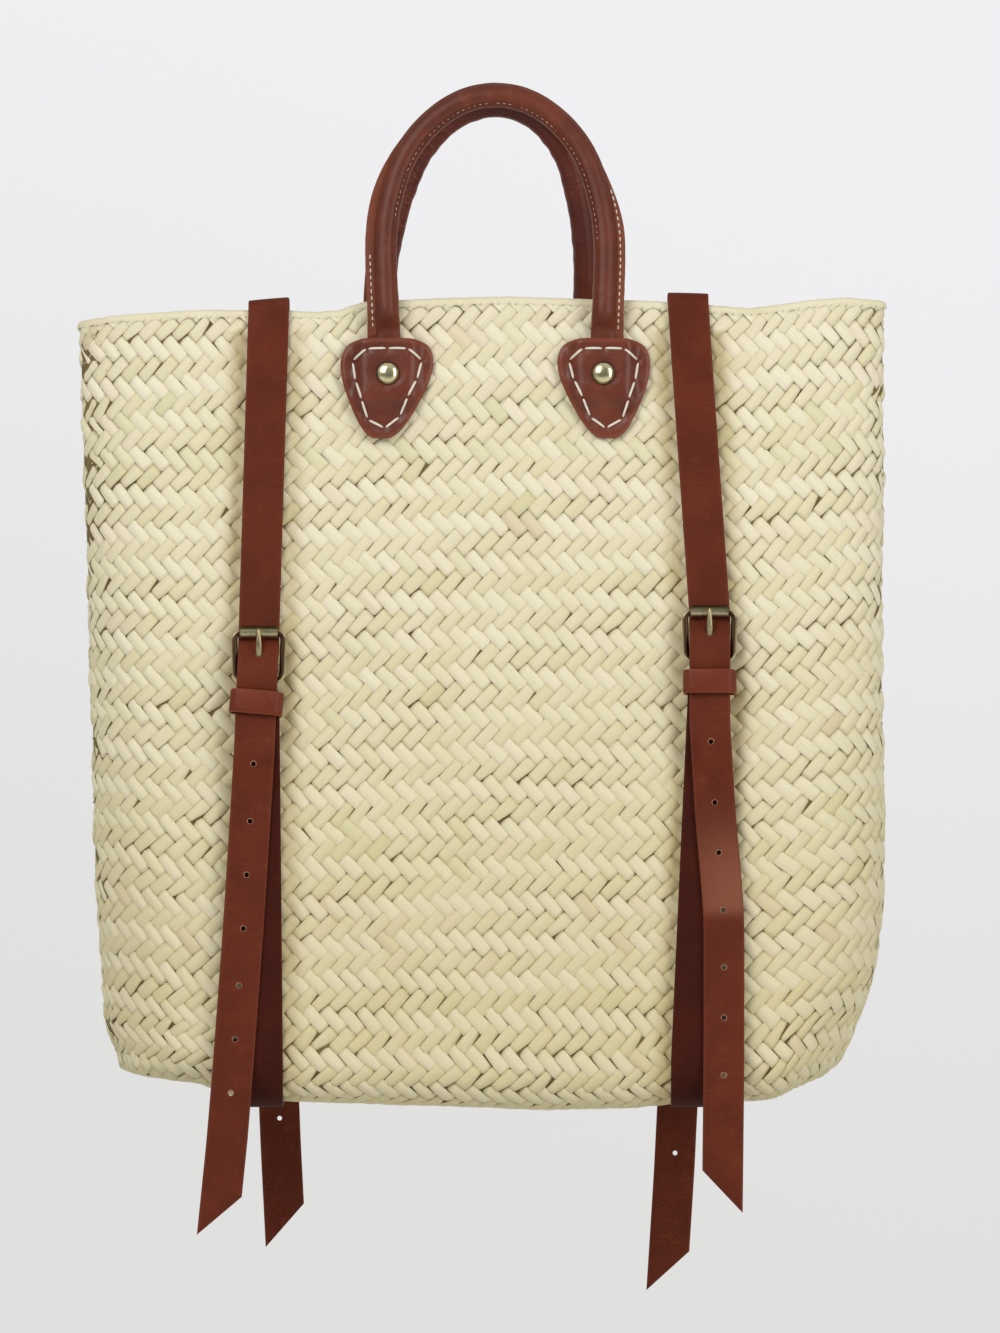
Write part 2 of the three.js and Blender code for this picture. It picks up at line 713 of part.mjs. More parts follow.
function handleDepth(handle, z) {
  const faceDepth = rimHalfDepth + (rimZ - z) * Math.tan(tilt);
  const { thick } = sleeveSection(z - hingeZ);
  const near = faceDepth + gap + rimStandOff * ease((z - hingeZ) / neckLength) + thick;
  const atRim = rimHalfDepth + gap + rimStandOff + sleeveRadius;
  const meet = sleeveRadius + gap / 2;
  const share = (z - rimZ) / (handle.apexZ - rimZ);
  const leaning = THREE.MathUtils.lerp(atRim, meet, Math.max(share, 0));
  return handle.side * (z > rimZ ? leaning : Math.max(near, share > 0 ? leaning : near));
}

function handleFrames(handle) {
  const line = handleLine(handle);
  const frames = [];
  for (let i = 0; i <= handleSteps; i++) {
    const even = i / handleSteps;
    const end = Math.min(even, 1 - even) * 2;
    const curved = Math.pow(end, crowdingPower) / 2;
    const at = 2 * even < 1 ? curved : 1 - curved;
    const p = line.getPointAt(at);
    const tangent = line.getTangentAt(at);
    p.y = handleDepth(handle, p.z);
    const outward = new THREE.Vector3(-tangent.z, 0, tangent.x);
    frames.push({ p, outward, end: Math.min(at, 1 - at) * 2, above: p.z - hingeZ });
  }
  return frames;
}

function handleSleeve(handle) {
  const outer = [];
  const inner = [];
  for (const { p, outward, end, above } of handleFrames(handle)) {
    const { thick, wide, boreThick, boreWide } = sleeveSection(above);
    const grown = ease((flangeStartShare - end) / (flangeStartShare - flangeFullShare));
    const flange = Math.max(flangeDepth * grown * ease(above / neckLength), flangeLeast);
    const place = (across, out) => new THREE.Vector3(
      p.x + outward.x * across, p.y + handle.side * out, p.z + outward.z * across,
    );
    const lip = flangeThickness / 2;
    const ring = [place(wide + flange, -lip), place(wide + flange, lip)];
    const slit = boreThick * boreSlitShare;
    const bore = [place(boreWide, -slit), place(boreWide, slit)];
    for (let i = 0; i <= sleeveSides; i++) {
      const angle = THREE.MathUtils.lerp(lip / sleeveRadius, 2 * Math.PI - lip / sleeveRadius, i / sleeveSides);
      ring.push(place(wide * Math.cos(angle), thick * Math.sin(angle)));
      bore.push(place(boreWide * Math.cos(angle), boreThick * Math.sin(angle)));
    }
    outer.push(ring);
    inner.push(bore);
  }
  return loft([...outer, ...inner.reverse()], true);
}

function handleCore(handle) {
  const frames = handleFrames(handle).filter(({ above }) => above > neckLength);
  const rings = frames.map(({ p, outward }) => {
    const ring = [];
    for (let i = 0; i < coreSides; i++) {
      const angle = (2 * Math.PI * i) / coreSides;
      const across = coreRadius * Math.cos(angle);
      const y = p.y + coreRadius * Math.sin(angle);
      ring.push(new THREE.Vector3(p.x + outward.x * across, y, p.z + outward.z * across));
    }
    return ring;
  });
  return loft(rings);
}

// Tabs, in a face frame whose origin is the middle of the tab's top edge on the face
function tabOutline() {
  const half = tabShares.map(([across, down]) => new THREE.Vector2(across * tabWidth / 2, -down * tabHeight));
  const mirrored = half.slice(1, -1).reverse().map((p) => new THREE.Vector2(-p.x, p.y));
  return [...half, ...mirrored];
}

// How far a tab is lifted over the tongue beneath it
function tabLift(x, y) {
  const tongueEnd = tabTopDrop - tongueLength;
  const across = ease((tabBumpHalfWidth + tabBumpFall - Math.abs(x)) / tabBumpFall);
  const down = ease((y - tongueEnd + tabBumpReachShare * tabBumpFall) / tabBumpFall);
  return (2 * neckHalfThickness + gap) * across * down;
}

function tab() {
  const outline = tabOutline();
  const middle = new THREE.Vector2(0, -tabCentreShare * tabHeight);
  const ringAt = (share, level) => outline.map((p) => {
    const q = p.clone().sub(middle).multiplyScalar(share).add(middle);
    return new THREE.Vector3(q.x, q.y, gap + level + tabLift(q.x, q.y));
  });
  const under = tabRingShares.map((share) => ringAt(share, 0));
  const over = tabRingShares.map((share) => ringAt(share, tabThickness));
  return cut(loft([...under.reverse(), ...over]), [rivetHole()]);
}

function rivetHole() {
  const hole = new THREE.CylinderGeometry(rivetBore, rivetBore, 2 * (wall + tabHeight), roundSides);
  return hole.rotateX(Math.PI / 2).translate(0, -rivetDrop, 0);
}

function tongue() {
  const depth = 2 * neckHalfThickness;
  const top = tabTopDrop - gap - (gap + depth) * Math.sin(tilt);
  const slab = new THREE.BoxGeometry(2 * neckHalfWidth, top - tabTopDrop + tongueLength, depth);
  slab.translate(0, (top + tabTopDrop - tongueLength) / 2, gap + depth / 2);
  return cut(slab, [rivetHole()]);
}

function tabTop() {
  return gap + tabLift(0, -rivetDrop) + tabThickness;
}

function rivetCap() {
  const socket = gap + postEnd + gap;
  const rim = gap + rivetRim;
  const profile = [
    new THREE.Vector2(0, socket), new THREE.Vector2(postRadius + gap, socket),
    new THREE.Vector2(postRadius + gap, gap), new THREE.Vector2(rivetRadius, gap),
    new THREE.Vector2(rivetRadius, rim),
  ];
  for (const share of rivetDomeShares) {
    const angle = (share * Math.PI) / 2;
    profile.push(new THREE.Vector2(rivetRadius * Math.cos(angle), rim + rivetDome * Math.sin(angle)));
  }
  profile.push(new THREE.Vector2(0, rim + rivetDome));
  return new THREE.LatheGeometry(profile, roundSides).rotateX(Math.PI / 2).translate(0, -rivetDrop, tabTop());
}

function rivetPost() {
  const back = -wall - gap;
  const tip = tabTop() + gap + postEnd;
  const profile = [
    new THREE.Vector2(0, back - postFlange), new THREE.Vector2(postFlangeRadius, back - postFlange),
    new THREE.Vector2(postFlangeRadius, back), new THREE.Vector2(postRadius, back),
    new THREE.Vector2(postRadius, tip), new THREE.Vector2(0, tip),
  ];
  return new THREE.LatheGeometry(profile, roundSides).rotateX(Math.PI / 2).translate(0, -rivetDrop, 0);
}

// Where each tab sits: the frame that carries it and what is fixed at it
function tabSeats() {
  return handles.flatMap((handle) => Object.entries(handle.legs).map(([leg, x]) => ({
    name: `${handle.name}_${leg}`, side: handle.side, x,
  })));
}

function addTab(object, { name, side, x }) {
  const face = faceGroup(side);
  const at = new THREE.Group();
  at.position.set(face.x(x), -dropOf(hingeZ) - tabTopDrop, 0);
  at.add(named(`${name}_handle_tongue`, tongue(), leather));
  at.add(named(`${name}_tab`, tab(), leather));
  at.add(named(`${name}_rivet_cap`, rivetCap(), brightBrass));
  at.add(named(`${name}_rivet_post`, rivetPost(), brightBrass));
  face.add(at);
  object.add(face.group);
}

// The shell with a hole through its wall for each rivet
function drilledShell() {
  const holes = tabSeats().map(({ side, x }) => {
    const hole = new THREE.CylinderGeometry(rivetBore, rivetBore, 2 * (wall + overrun), roundSides);
    hole.rotateX(Math.PI - tilt);
    if (side > 0) hole.rotateZ(Math.PI);
    const at = facePoint(side, x, dropOf(hingeZ) + tabTopDrop + rivetDrop, 0);
    return hole.translate(at.x, at.y, at.z);
  });
  return cut(basketShell(), holes);
}

const basket = new THREE.Group();
basket.add(named("basket_body", drilledShell(), palmLeaf));
for (const handle of handles) {
  basket.add(named(`handle_${handle.name}_sleeve`, handleSleeve(handle), leather));
  basket.add(named(`handle_${handle.name}_core`, handleCore(handle), rope));
}
for (const seat of tabSeats()) addTab(basket, seat);
for (const strap of straps) {
  basket.add(named(`${strap.name}_over_strap`, overStrap(strap), leather));
  basket.add(named(`${strap.name}_base_strap`, baseStrap(strap), leather));
  for (const side of [-1, 1]) {
    const end = side < 0 ? strap.front : strap.rear;
    basket.add(named(`${side < 0 ? "front" : "rear"}_${strap.name}_strap_tail`, strapTail(side, end), leather));
    addBuckle(basket, strap, side);
  }
}

export default basket;
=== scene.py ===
# Pack basket: a woven palm-leaf bag with rolled leather handles and two buckled leather strap loops.
# Sizes are in millimetres until a mesh is made. +Z is up and the front faces -Y.
import math

import bmesh
import bpy
import numpy as np
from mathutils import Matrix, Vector


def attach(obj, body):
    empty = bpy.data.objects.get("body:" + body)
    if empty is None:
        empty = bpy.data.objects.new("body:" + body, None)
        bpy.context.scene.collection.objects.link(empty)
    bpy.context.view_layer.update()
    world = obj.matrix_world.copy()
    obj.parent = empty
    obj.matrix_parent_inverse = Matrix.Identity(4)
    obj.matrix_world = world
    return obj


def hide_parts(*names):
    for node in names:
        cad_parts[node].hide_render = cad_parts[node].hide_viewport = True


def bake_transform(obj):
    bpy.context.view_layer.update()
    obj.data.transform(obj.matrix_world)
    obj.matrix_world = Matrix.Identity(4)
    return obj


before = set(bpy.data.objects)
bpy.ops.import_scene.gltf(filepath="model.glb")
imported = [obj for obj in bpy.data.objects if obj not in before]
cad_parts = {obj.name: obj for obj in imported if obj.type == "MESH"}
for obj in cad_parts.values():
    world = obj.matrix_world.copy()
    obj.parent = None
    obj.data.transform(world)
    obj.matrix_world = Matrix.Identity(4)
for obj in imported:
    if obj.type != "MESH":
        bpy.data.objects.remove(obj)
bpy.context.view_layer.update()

mm = 0.001
rng = np.random.default_rng(41)

# Basket shell, as the CAD model has it
RIM_Z = -98
BASE_Z = -493.5
BASKET_X = -1.3
RIM_HALF_WIDTH = 201.5
BASE_HALF_WIDTH = 195.5
RIM_HALF_DEPTH = 18
BASE_HALF_DEPTH = 62.5
WALL = 5
LIP_RUN = WALL / 2 * math.pi
BASE_EDGE_RADIUS = 22
ROUNDED_END = 68
BASE_END_LIFT = 12
RIM_WAVE = 6
RIM_WAVE_SHARES = np.array([
    (-1, -1.2), (-0.9, -0.7), (-0.7, -0.27), (-0.5, -0.3), (-0.42, -0.45), (-0.36, -0.3), (-0.3, 0.4), (-0.1, 0.72),
    (0.06, 0.85), (0.27, 0.62), (0.42, 0.48), (0.56, 0.15), (0.66, -0.15), (0.74, 0.2), (0.82, 0.6), (0.9, 0.78),
    (1, 0.5),
])
TILT = math.atan((BASE_HALF_DEPTH - RIM_HALF_DEPTH) / (RIM_Z - BASE_Z))
FLAT_HALF = RIM_HALF_WIDTH - ROUNDED_END

# How far the bag's sides stand out of their straight lines at some heights, and its base above its own line
LEFT_BULGES = [
    (-484, 2), (-477.5, 1.5), (-472.5, -4.6), (-467.5, -6.5), (-462.5, -6.2), (-457.5, -5.4), (-452.5, -4.2),
    (-442, -3.5), (-417, -2), (-392, -1), (-292, 1), (-192, 2.5), (-142, 3), (-98, 2.2),
]
RIGHT_BULGES = [
    (-480, -10), (-465, -10), (-455, -7), (-445, -2), (-432, 2.5), (-417, 4.5), (-392, 6), (-292, 4.5), (-192, 2.5),
    (-98, 0.8),
]
BASE_LIFTS = [
    (-195, 5.5), (-173, 5.5), (-163, 7), (-153, 8), (-143, 8.5), (-128, 3), (-116, 0.5), (-20, -2.5), (30, -4.3),
    (70, -3.5), (100, -0.8), (125, 0), (147, 0.3), (157, 2), (170, 2.5), (185, 2),
]
BULGE_RUN = 55
LIFT_HEIGHT = 60

# How far the walls sink between the straps and beside them, and over what distances
DENT_DEPTH = 2.4
DENT_RUN = 24
DENT_FADE = 60
PRESS_DEPTH = 1.8
PRESS_MIDDLE = 3.5
PRESS_REACH = 5

# Plait: floats of two strands' width, in horizontal rows that lean right and left by turns
COLUMNS = 96
FLAT_SHARE = 0.62
ROW_PITCH = 9.45
FIRST_ROW = -2.8
CORE_DEPTH = 1.9
FLOAT_HALF_LENGTH = 0.575
FLOAT_HALF_WIDTH = 0.262
TUCK_DEPTH = 1.35
WANDER = 1.1
WANDERS_ROUND = 7
# For floats that lean right and for those that lean left
PARTED_SHARES = (0.95, 0.15)
PINCH_SHARES = (1.15, 0.7)
END_TURNS = (0.405, 0.905)
END_SPREAD = 0.022
LOWEST_ROWS = 37
FOLD_DEPTH = 0.9
FOLD_TEETH = 1.5
STRAP_LINES = (((-493, -111.5), (-283, -113.5), (-98, -108.8)), ((-493, 102.5), (-283, 111.8), (-98, 101.2)))
STRAP_EDGE = 10.2
FLOAT_ALONG = np.array([-1, -0.86, -0.66, -0.3, 0.3, 0.66, 0.86, 1])
FLOAT_ACROSS = np.array([-1, -0.82, 0, 0.82, 1])
INSIDE_ALONG = np.array([-1, -0.8, 0, 0.8, 1])
INSIDE_ACROSS = np.array([-1, -0.5, 0.5, 1])
RING_POINTS = 480
LEVEL_STEP = 3


def tinted(red, green, blue):
    """A colour written as it shows on a screen, as the shader wants it."""
    channels = [c / 255 for c in (red, green, blue)]
    linear = [c / 12.92 if c <= 0.04045 else ((c + 0.055) / 1.055) ** 2.4 for c in channels]
    return (*linear, 1)


class Value:
    """A socket in a material. Sums written on it become Math nodes."""

    def __init__(self, recipe, socket):
        self.recipe = recipe
        self.socket = socket

    def maths(self, operation, *others):
        inputs = dict(enumerate([self, *others]))
        return self.recipe.node("ShaderNodeMath", {"operation": operation}, inputs)

    def reflected(self, operation, other):
        return self.recipe.node("ShaderNodeMath", {"operation": operation}, {0: other, 1: self})

    def __add__(self, other):
        return self.maths("ADD", other)

    def __radd__(self, other):
        return self.reflected("ADD", other)

    def __sub__(self, other):
        return self.maths("SUBTRACT", other)

    def __rsub__(self, other):
        return self.reflected("SUBTRACT", other)

    def __mul__(self, other):
        return self.maths("MULTIPLY", other)

    def size(self):
        return self.maths("ABSOLUTE")

    def step(self, low, high):
        """0 below low, 1 above high, with a soft rise between."""
        settings = {"interpolation_type": "SMOOTHSTEP"}
        inputs = {"Value": self, "From Min": low, "From Max": high}
        return self.recipe.node("ShaderNodeMapRange", settings, inputs)


class Recipe:
    """A material or a world under construction, with one method that adds any node."""

    def __init__(self, name, world=None):
        self.material = world or bpy.data.materials.new(name)
        self.material.use_nodes = True
        self.tree = self.material.node_tree
        self.tree.nodes.clear()

    def node(self, kind, settings=None, inputs=None, output=0):
        made = self.tree.nodes.new(kind)
        for name, setting in (settings or {}).items():
            if name == "stops":
                fill_ramp(made.color_ramp, setting)
            else:
                setattr(made, name, setting)
        for key, given in (inputs or {}).items():
            socket = find_socket(made.inputs, key)
            if isinstance(given, Value):
                self.tree.links.new(given.socket, socket)
            else:
                socket.default_value = given
        return Value(self, find_socket(made.outputs, output))

    def noise(self, size, detail=2.0, roughness=0.5, vector=None):
        """Cloudy noise from 0 to 1 whose lumps are about that many millimetres across."""
        inputs = {"Scale": 1 / (size * mm), "Detail": detail, "Roughness": roughness}
        inputs["Vector"] = vector or self.place()
        return self.node("ShaderNodeTexNoise", None, inputs)

    def cells(self, size):
        """Pebbled cells about that many millimetres across."""
        return self.node("ShaderNodeTexVoronoi", None, {"Scale": 1 / (size * mm), "Vector": self.place()})

    def place(self):
        return self.node("ShaderNodeTexCoord", output="Object")

    def own(self, attribute, output="Fac"):
        return self.node("ShaderNodeAttribute", {"attribute_name": attribute}, output=output)

    def part_of(self, vector, axis):
        return self.node("ShaderNodeSeparateXYZ", None, {0: vector}, output=axis)

    def stretched(self, vector, across, along, up):
        settings = {"operation": "MULTIPLY"}
        return self.node("ShaderNodeVectorMath", settings, {0: vector, 1: (across, along, up)})

    def mixed(self, share, first, second):
        inputs = {"Factor_Float": share, "A_Color": first, "B_Color": second}
        return self.node("ShaderNodeMix", {"data_type": "RGBA"}, inputs, output="Result_Color")

    def relief(self, height, depth):
        """A bump whose height of 1 stands that many millimetres proud."""
        return self.node("ShaderNodeBump", None, {"Height": height, "Distance": depth * mm, "Strength": 1.0})

    def finish(self, **inputs):
        named = {key.replace("_", " "): given for key, given in inputs.items()}
        shader = self.node("ShaderNodeBsdfPrincipled", None, named)
        self.node_out(shader)
        return self.material

    def node_out(self, shader, kind="ShaderNodeOutputMaterial"):
        made = self.tree.nodes.new(kind)
        self.tree.links.new(shader.socket, made.inputs["Surface"])


def find_socket(sockets, key):
    if isinstance(key, int):
        return sockets[key]
    same = [s for s in sockets if s.identifier == key] or [s for s in sockets if s.name == key]
    return same[0]


def fill_ramp(ramp, stops):
    while len(ramp.elements) < len(stops):
        ramp.elements.new(1)
    for element, (position, colour) in zip(ramp.elements, stops):
        element.position = position
        element.color = colour


def palm_leaf():
    """Dried palm leaf: each float has its own tone and fine grain along it; its seams, tucked ends and some wider
    areas get painted shade.
    """
    r = Recipe("palm_leaf")
    strand = r.own("strand", "Vector")
    along = r.part_of(strand, 0)
    across = r.part_of(strand, 1)
    shade = r.part_of(strand, 2)
    stops = [
        (0.0, tinted(219, 213, 174)), (0.2, tinted(228, 221, 187)), (0.5, tinted(232, 224, 195)),
        (0.75, tinted(235, 227, 201)), (0.9, tinted(230, 218, 192)), (1.0, tinted(220, 206, 174)),
    ]
    leaf = r.node("ShaderNodeValToRGB", {"stops": stops}, {"Fac": shade})
    fibre_place = r.node("ShaderNodeCombineXYZ", None, {0: along * 0.05, 1: across * 3.2, 2: shade * 57})
    fibre_inputs = {"Vector": fibre_place, "Scale": 1.6, "Detail": 4.0, "Roughness": 0.6}
    fibre = r.node("ShaderNodeTexNoise", None, fibre_inputs)
    clouds = r.noise(38, 2)
    leaf = r.mixed((fibre - 0.42).step(0, 0.3) * 0.2, leaf, tinted(205, 188, 138))
    leaf = r.mixed(clouds.step(0.5, 0.75) * 0.3, leaf, tinted(224, 210, 176))
    # Painted shade along each float's edges and at its tucked ends, where the floats meet; stronger on floats that
    # lean right.
    side = across.size().step(0.83, 1.0)
    end = along.size().step(0.68, 1.0)
    seam = (side * 0.85 + end * 0.55).maths("MINIMUM", 1.0)
    leaf = r.mixed(seam * (0.56 + r.own("rising") * 0.3), leaf, tinted(124, 108, 56))
    # Painted shade: floats that lean right are darker, and the leaf darkens towards the bottom of the bag.
    depth = 0 - r.part_of(r.place(), 2)
    low = r.own("rising") * 0.17 + 0.02 + depth.step(0.1, 0.25) * 0.07 + depth.step(0.2, 0.49) * 0.3
    leaf = r.mixed(low, leaf, tinted(190, 174, 112))
    # Painted shade beside the straps, where the wall is drawn in, broken up by clouds.
    leaf = r.mixed(r.own("pressed") * (0.4 + clouds.step(0.4, 0.7) * 0.35), leaf, tinted(168, 146, 90))
    ribs = fibre * 0.7 + clouds * 0.1
    return r.finish(
        Base_Color=leaf, Roughness=0.52 + fibre * 0.2, Normal=r.relief(ribs, 0.22), Specular_IOR_Level=0.35,
    )


def dark_core():
    """The plait's inner layer, coloured dark as painted shade, seen only in the slits between the floats."""
    r = Recipe("palm_core")
    colour = r.mixed(r.noise(9, 3), tinted(132, 114, 68), tinted(84, 70, 40))
    return r.finish(Base_Color=colour, Roughness=0.9)


def make_mesh(name, points, faces, material):
    """A smooth mesh object from points in millimetres."""
    mesh = bpy.data.meshes.new(name)
    mesh.from_pydata((np.asarray(points) * mm).tolist(), [], np.asarray(faces).tolist())
    mesh.materials.append(material)
    mesh.polygons.foreach_set("use_smooth", [True] * len(mesh.polygons))
    mesh.update()
    made = bpy.data.objects.new(name, mesh)
    bpy.context.scene.collection.objects.link(made)
    return made


def give(made, attribute, values):
    """Stores one number or one vector for each point of a mesh."""
    values = np.asarray(values, np.float32)
    kind, field = ("FLOAT", "value") if values.ndim == 1 else ("FLOAT_VECTOR", "vector")
    layer = made.data.attributes.new(attribute, kind, "POINT")
    layer.data.foreach_set(field, values.ravel())


def runs_along(points):
    """How far each point of a line is from its first, measured along the line."""
    return np.concatenate([[0], np.cumsum(np.linalg.norm(np.diff(points, axis=0), axis=1))])


def grid_faces(rows, columns, start=0, wrap=False):
    """Quads of a grid of points whose columns may join up."""
    r, c = np.meshgrid(np.arange(rows - 1), np.arange(columns if wrap else columns - 1), indexing="ij")
    n = (c + 1) % columns
    quads = [r * columns + c, r * columns + n, (r + 1) * columns + n, (r + 1) * columns + c]
    return np.stack([q.ravel() for q in quads], axis=1) + start


def eased(share):
    t = np.clip(share, 0, 1)
    return t * t * (3 - 2 * t)


def rim_height(x):
    share = (x - BASKET_X) / RIM_HALF_WIDTH
    return RIM_Z + RIM_WAVE * np.interp(share, RIM_WAVE_SHARES[:, 0], RIM_WAVE_SHARES[:, 1])


def base_height(x):
    past = (np.abs(x - BASKET_X) - FLAT_HALF) / ROUNDED_END
    return BASE_Z + BASE_END_LIFT * eased(past)


def ring_outline(half_width, half_depth):
    """Points round the basket at one level, evenly spaced on its two faces and on its two rounded ends."""
    fine = np.linspace(0, math.pi, 181)
    end = half_width - FLAT_HALF
    curve = np.stack([end * np.sin(fine), -half_depth * np.cos(fine)], axis=1)
    lengths = runs_along(curve)
    flat_points = int(RING_POINTS * FLAT_SHARE / 2)
    end_points = RING_POINTS // 2 - flat_points
    at = np.interp(np.arange(end_points) / end_points * lengths[-1], lengths, fine)
    right_end = np.stack([FLAT_HALF + end * np.sin(at), -half_depth * np.cos(at)], axis=1)
    share = np.arange(flat_points) / flat_points
    front = np.stack([FLAT_HALF * (2 * share - 1), np.full(flat_points, -half_depth)], axis=1)
    half = np.concatenate([front, right_end])
    return np.concatenate([half, -half])


def soft_waves(x, z, seed):
    """Slow bulges and hollows from 0 to 1, the same on each run."""
    waves = np.random.default_rng(seed)
    total = np.zeros(np.broadcast(x, z).shape)
    for _ in range(6):
        direction = waves.uniform(0, 2 * math.pi)
        length = waves.uniform(60, 170)
        phase = waves.uniform(0, 2 * math.pi)
        total = total + np.sin((x * math.cos(direction) + z * math.sin(direction)) * 2 * math.pi / length + phase)
    return 0.5 + total / 9


def past_strap(x, z):
    """How far a point of the wall is from the edge of the nearest strap."""
    gaps = []
    for line in STRAP_LINES:
        heights, places = np.array(line).T
        gaps.append(np.abs(x - np.interp(z, heights, places)) - STRAP_EDGE)
    return np.minimum(*gaps)


def pressed_share(past):
    """Strongest just beside a strap, where the wall is drawn in; it sets that dent and the painted shade there."""
    return np.exp(-((past - PRESS_MIDDLE) / PRESS_REACH) ** 2)


class Shell:
    """The basket's surface from the middle of its base inside, over the rim, to the middle outside."""

    def __init__(self):
        self.wall_run = (RIM_Z - BASE_Z - BASE_EDGE_RADIUS) / math.cos(TILT)
        outside = self.profile(0)
        inside = self.profile(WALL)
        lip = []
        for angle in np.linspace(0, math.pi, 7)[1:-1]:
            lip.append((-WALL / 2 * angle, self.lip_ring(angle)))
        inside = [(-LIP_RUN - run, ring) for run, ring in inside]
        levels = inside[::-1] + lip[::-1] + outside
        self.runs = np.array([run for run, _ in levels])
        self.points = np.stack([ring for _, ring in levels])
        across = np.roll(self.points, -1, axis=1) - np.roll(self.points, 1, axis=1)
        down = np.gradient(self.points, axis=0)
        normals = np.cross(across, -down)
        sizes = np.linalg.norm(normals, axis=2, keepdims=True)
        self.normals = normals / np.maximum(sizes, 1e-9)
        edge_end = self.wall_run + BASE_EDGE_RADIUS * math.pi / 2
        self.normals[self.runs > edge_end + 1] = (0, 0, -1)
        self.normals[self.runs < -edge_end - LIP_RUN] = (0, 0, 1)
        self.soften()
        self.slump()

    def slump(self):
        """The bag's sides bulge and its lower corners are drawn in by its own weight."""
        lefts, rights, lifts = [np.array(table) for table in (LEFT_BULGES, RIGHT_BULGES, BASE_LIFTS)]
        x = self.points[:, :, 0].copy()
        low = eased((BASE_Z + LIFT_HEIGHT - self.points[:, :, 2]) / LIFT_HEIGHT)
        self.points[:, :, 2] += low * np.interp(x, lifts[:, 0], lifts[:, 1])
        z = self.points[:, :, 2]
        near_left = eased((-x - RIM_HALF_WIDTH + ROUNDED_END) / BULGE_RUN)
        near_right = eased((x - RIM_HALF_WIDTH + ROUNDED_END) / BULGE_RUN)
        self.points[:, :, 0] -= near_left * np.interp(z, lefts[:, 0], lefts[:, 1])
        self.points[:, :, 0] += near_right * np.interp(z, rights[:, 0], rights[:, 1])

    def soften(self):
        """The walls sink a little here and there, as a slack bag's do, and never stand proud."""
        x, z = self.points[:, :, 0], self.points[:, :, 2]
        seeds = np.where(self.points[:, :, 1] < 0, 1.0, 0.0)
        dent = soft_waves(x, z, 3) * seeds + soft_waves(x, z, 8) * (1 - seeds)
        away = eased((RIM_Z - z) / DENT_FADE) * eased((z - BASE_Z) / DENT_FADE)
        past = past_strap(x, z)
        free = eased(past / DENT_RUN)
        depth = (DENT_DEPTH * np.clip(dent, 0, 1) * free + PRESS_DEPTH * pressed_share(past)) * away
        outward = np.where(self.runs[:, None] > -LIP_RUN / 2, -1.0, 1.0)
        self.points = self.points + self.normals * (depth * outward)[:, :, None]

    def depth_at(self, z):
        return RIM_HALF_DEPTH + (RIM_Z - z) * math.tan(TILT)

    def width_at(self, z):
        share = (RIM_Z - z) / (RIM_Z - BASE_Z)
        return RIM_HALF_WIDTH + (BASE_HALF_WIDTH - RIM_HALF_WIDTH) * share

    def wall_ring(self, share, inset):
        edge_z = BASE_Z + BASE_EDGE_RADIUS
        z = RIM_Z + (edge_z - RIM_Z) * share
        plan = ring_outline(self.width_at(z) - inset, self.depth_at(z) - inset)
        x = plan[:, 0] + BASKET_X
        heights = rim_height(x) + (base_height(x) + BASE_EDGE_RADIUS - rim_height(x)) * share
        y = plan[:, 1] * (self.depth_at(heights) - inset) / (self.depth_at(z) - inset)
        return np.stack([x, y, heights], axis=1)

    def lip_ring(self, angle):
        """The rim's round top, from the outer face at no angle to the inner face at half a turn."""
        inset = WALL / 2 * (1 - math.cos(angle))
        ring = self.wall_ring(0, inset)
        ring[:, 2] += WALL / 2 * math.sin(angle)
        return ring

    def profile(self, inset):
        levels = []
        steps = round(self.wall_run / LEVEL_STEP)
        for i in range(steps + 1):
            levels.append((self.wall_run * i / steps, self.wall_ring(i / steps, inset)))
        radius = BASE_EDGE_RADIUS - inset
        edge_run = radius * math.pi / 2
        for angle in np.linspace(0, math.pi / 2, 13)[1:]:
            drawn = radius * (1 - math.cos(angle)) + inset
            rise = radius * (1 - math.sin(angle)) + inset
            z = BASE_Z + rise
            plan = ring_outline(self.width_at(z) - drawn, self.depth_at(z) - drawn)
            x = plan[:, 0] + BASKET_X
            levels.append((self.wall_run + radius * angle, np.stack([x, plan[:, 1], base_height(x) + rise], axis=1)))
        last_run, last = levels[-1]
        half_depth = -last[:, 1].min()
        half_width = last[:, 0].max() - BASKET_X
        count = round(half_depth / LEVEL_STEP)
        for i in range(1, count + 1):
            drawn = half_depth * (i / count) * 0.995
            plan = ring_outline(half_width - drawn, half_depth - drawn)
            x = plan[:, 0] + BASKET_X
            levels.append((last_run + drawn, np.stack([x, plan[:, 1], base_height(x) + inset], axis=1)))
        return levels

    def place(self, turn, run, proud):
        """Points at shares of a turn round the basket, at runs from the rim, standing proud of the surface."""
        level = np.interp(run, self.runs, np.arange(len(self.runs)))
        low = np.clip(level.astype(int), 0, len(self.runs) - 2)
        rise = (level - low)[..., None]
        spot = (turn % 1) * RING_POINTS
        left = spot.astype(int) % RING_POINTS
        right = (left + 1) % RING_POINTS
        part = (spot - np.floor(spot))[..., None]

        def read(table):
            upper = table[low, left] * (1 - part) + table[low, right] * part
            lower = table[low + 1, left] * (1 - part) + table[low + 1, right] * part
            return upper * (1 - rise) + lower * rise

        normal = read(self.normals)
        normal /= np.maximum(np.linalg.norm(normal, axis=-1, keepdims=True), 1e-9)
        return read(self.points) + normal * proud[..., None]


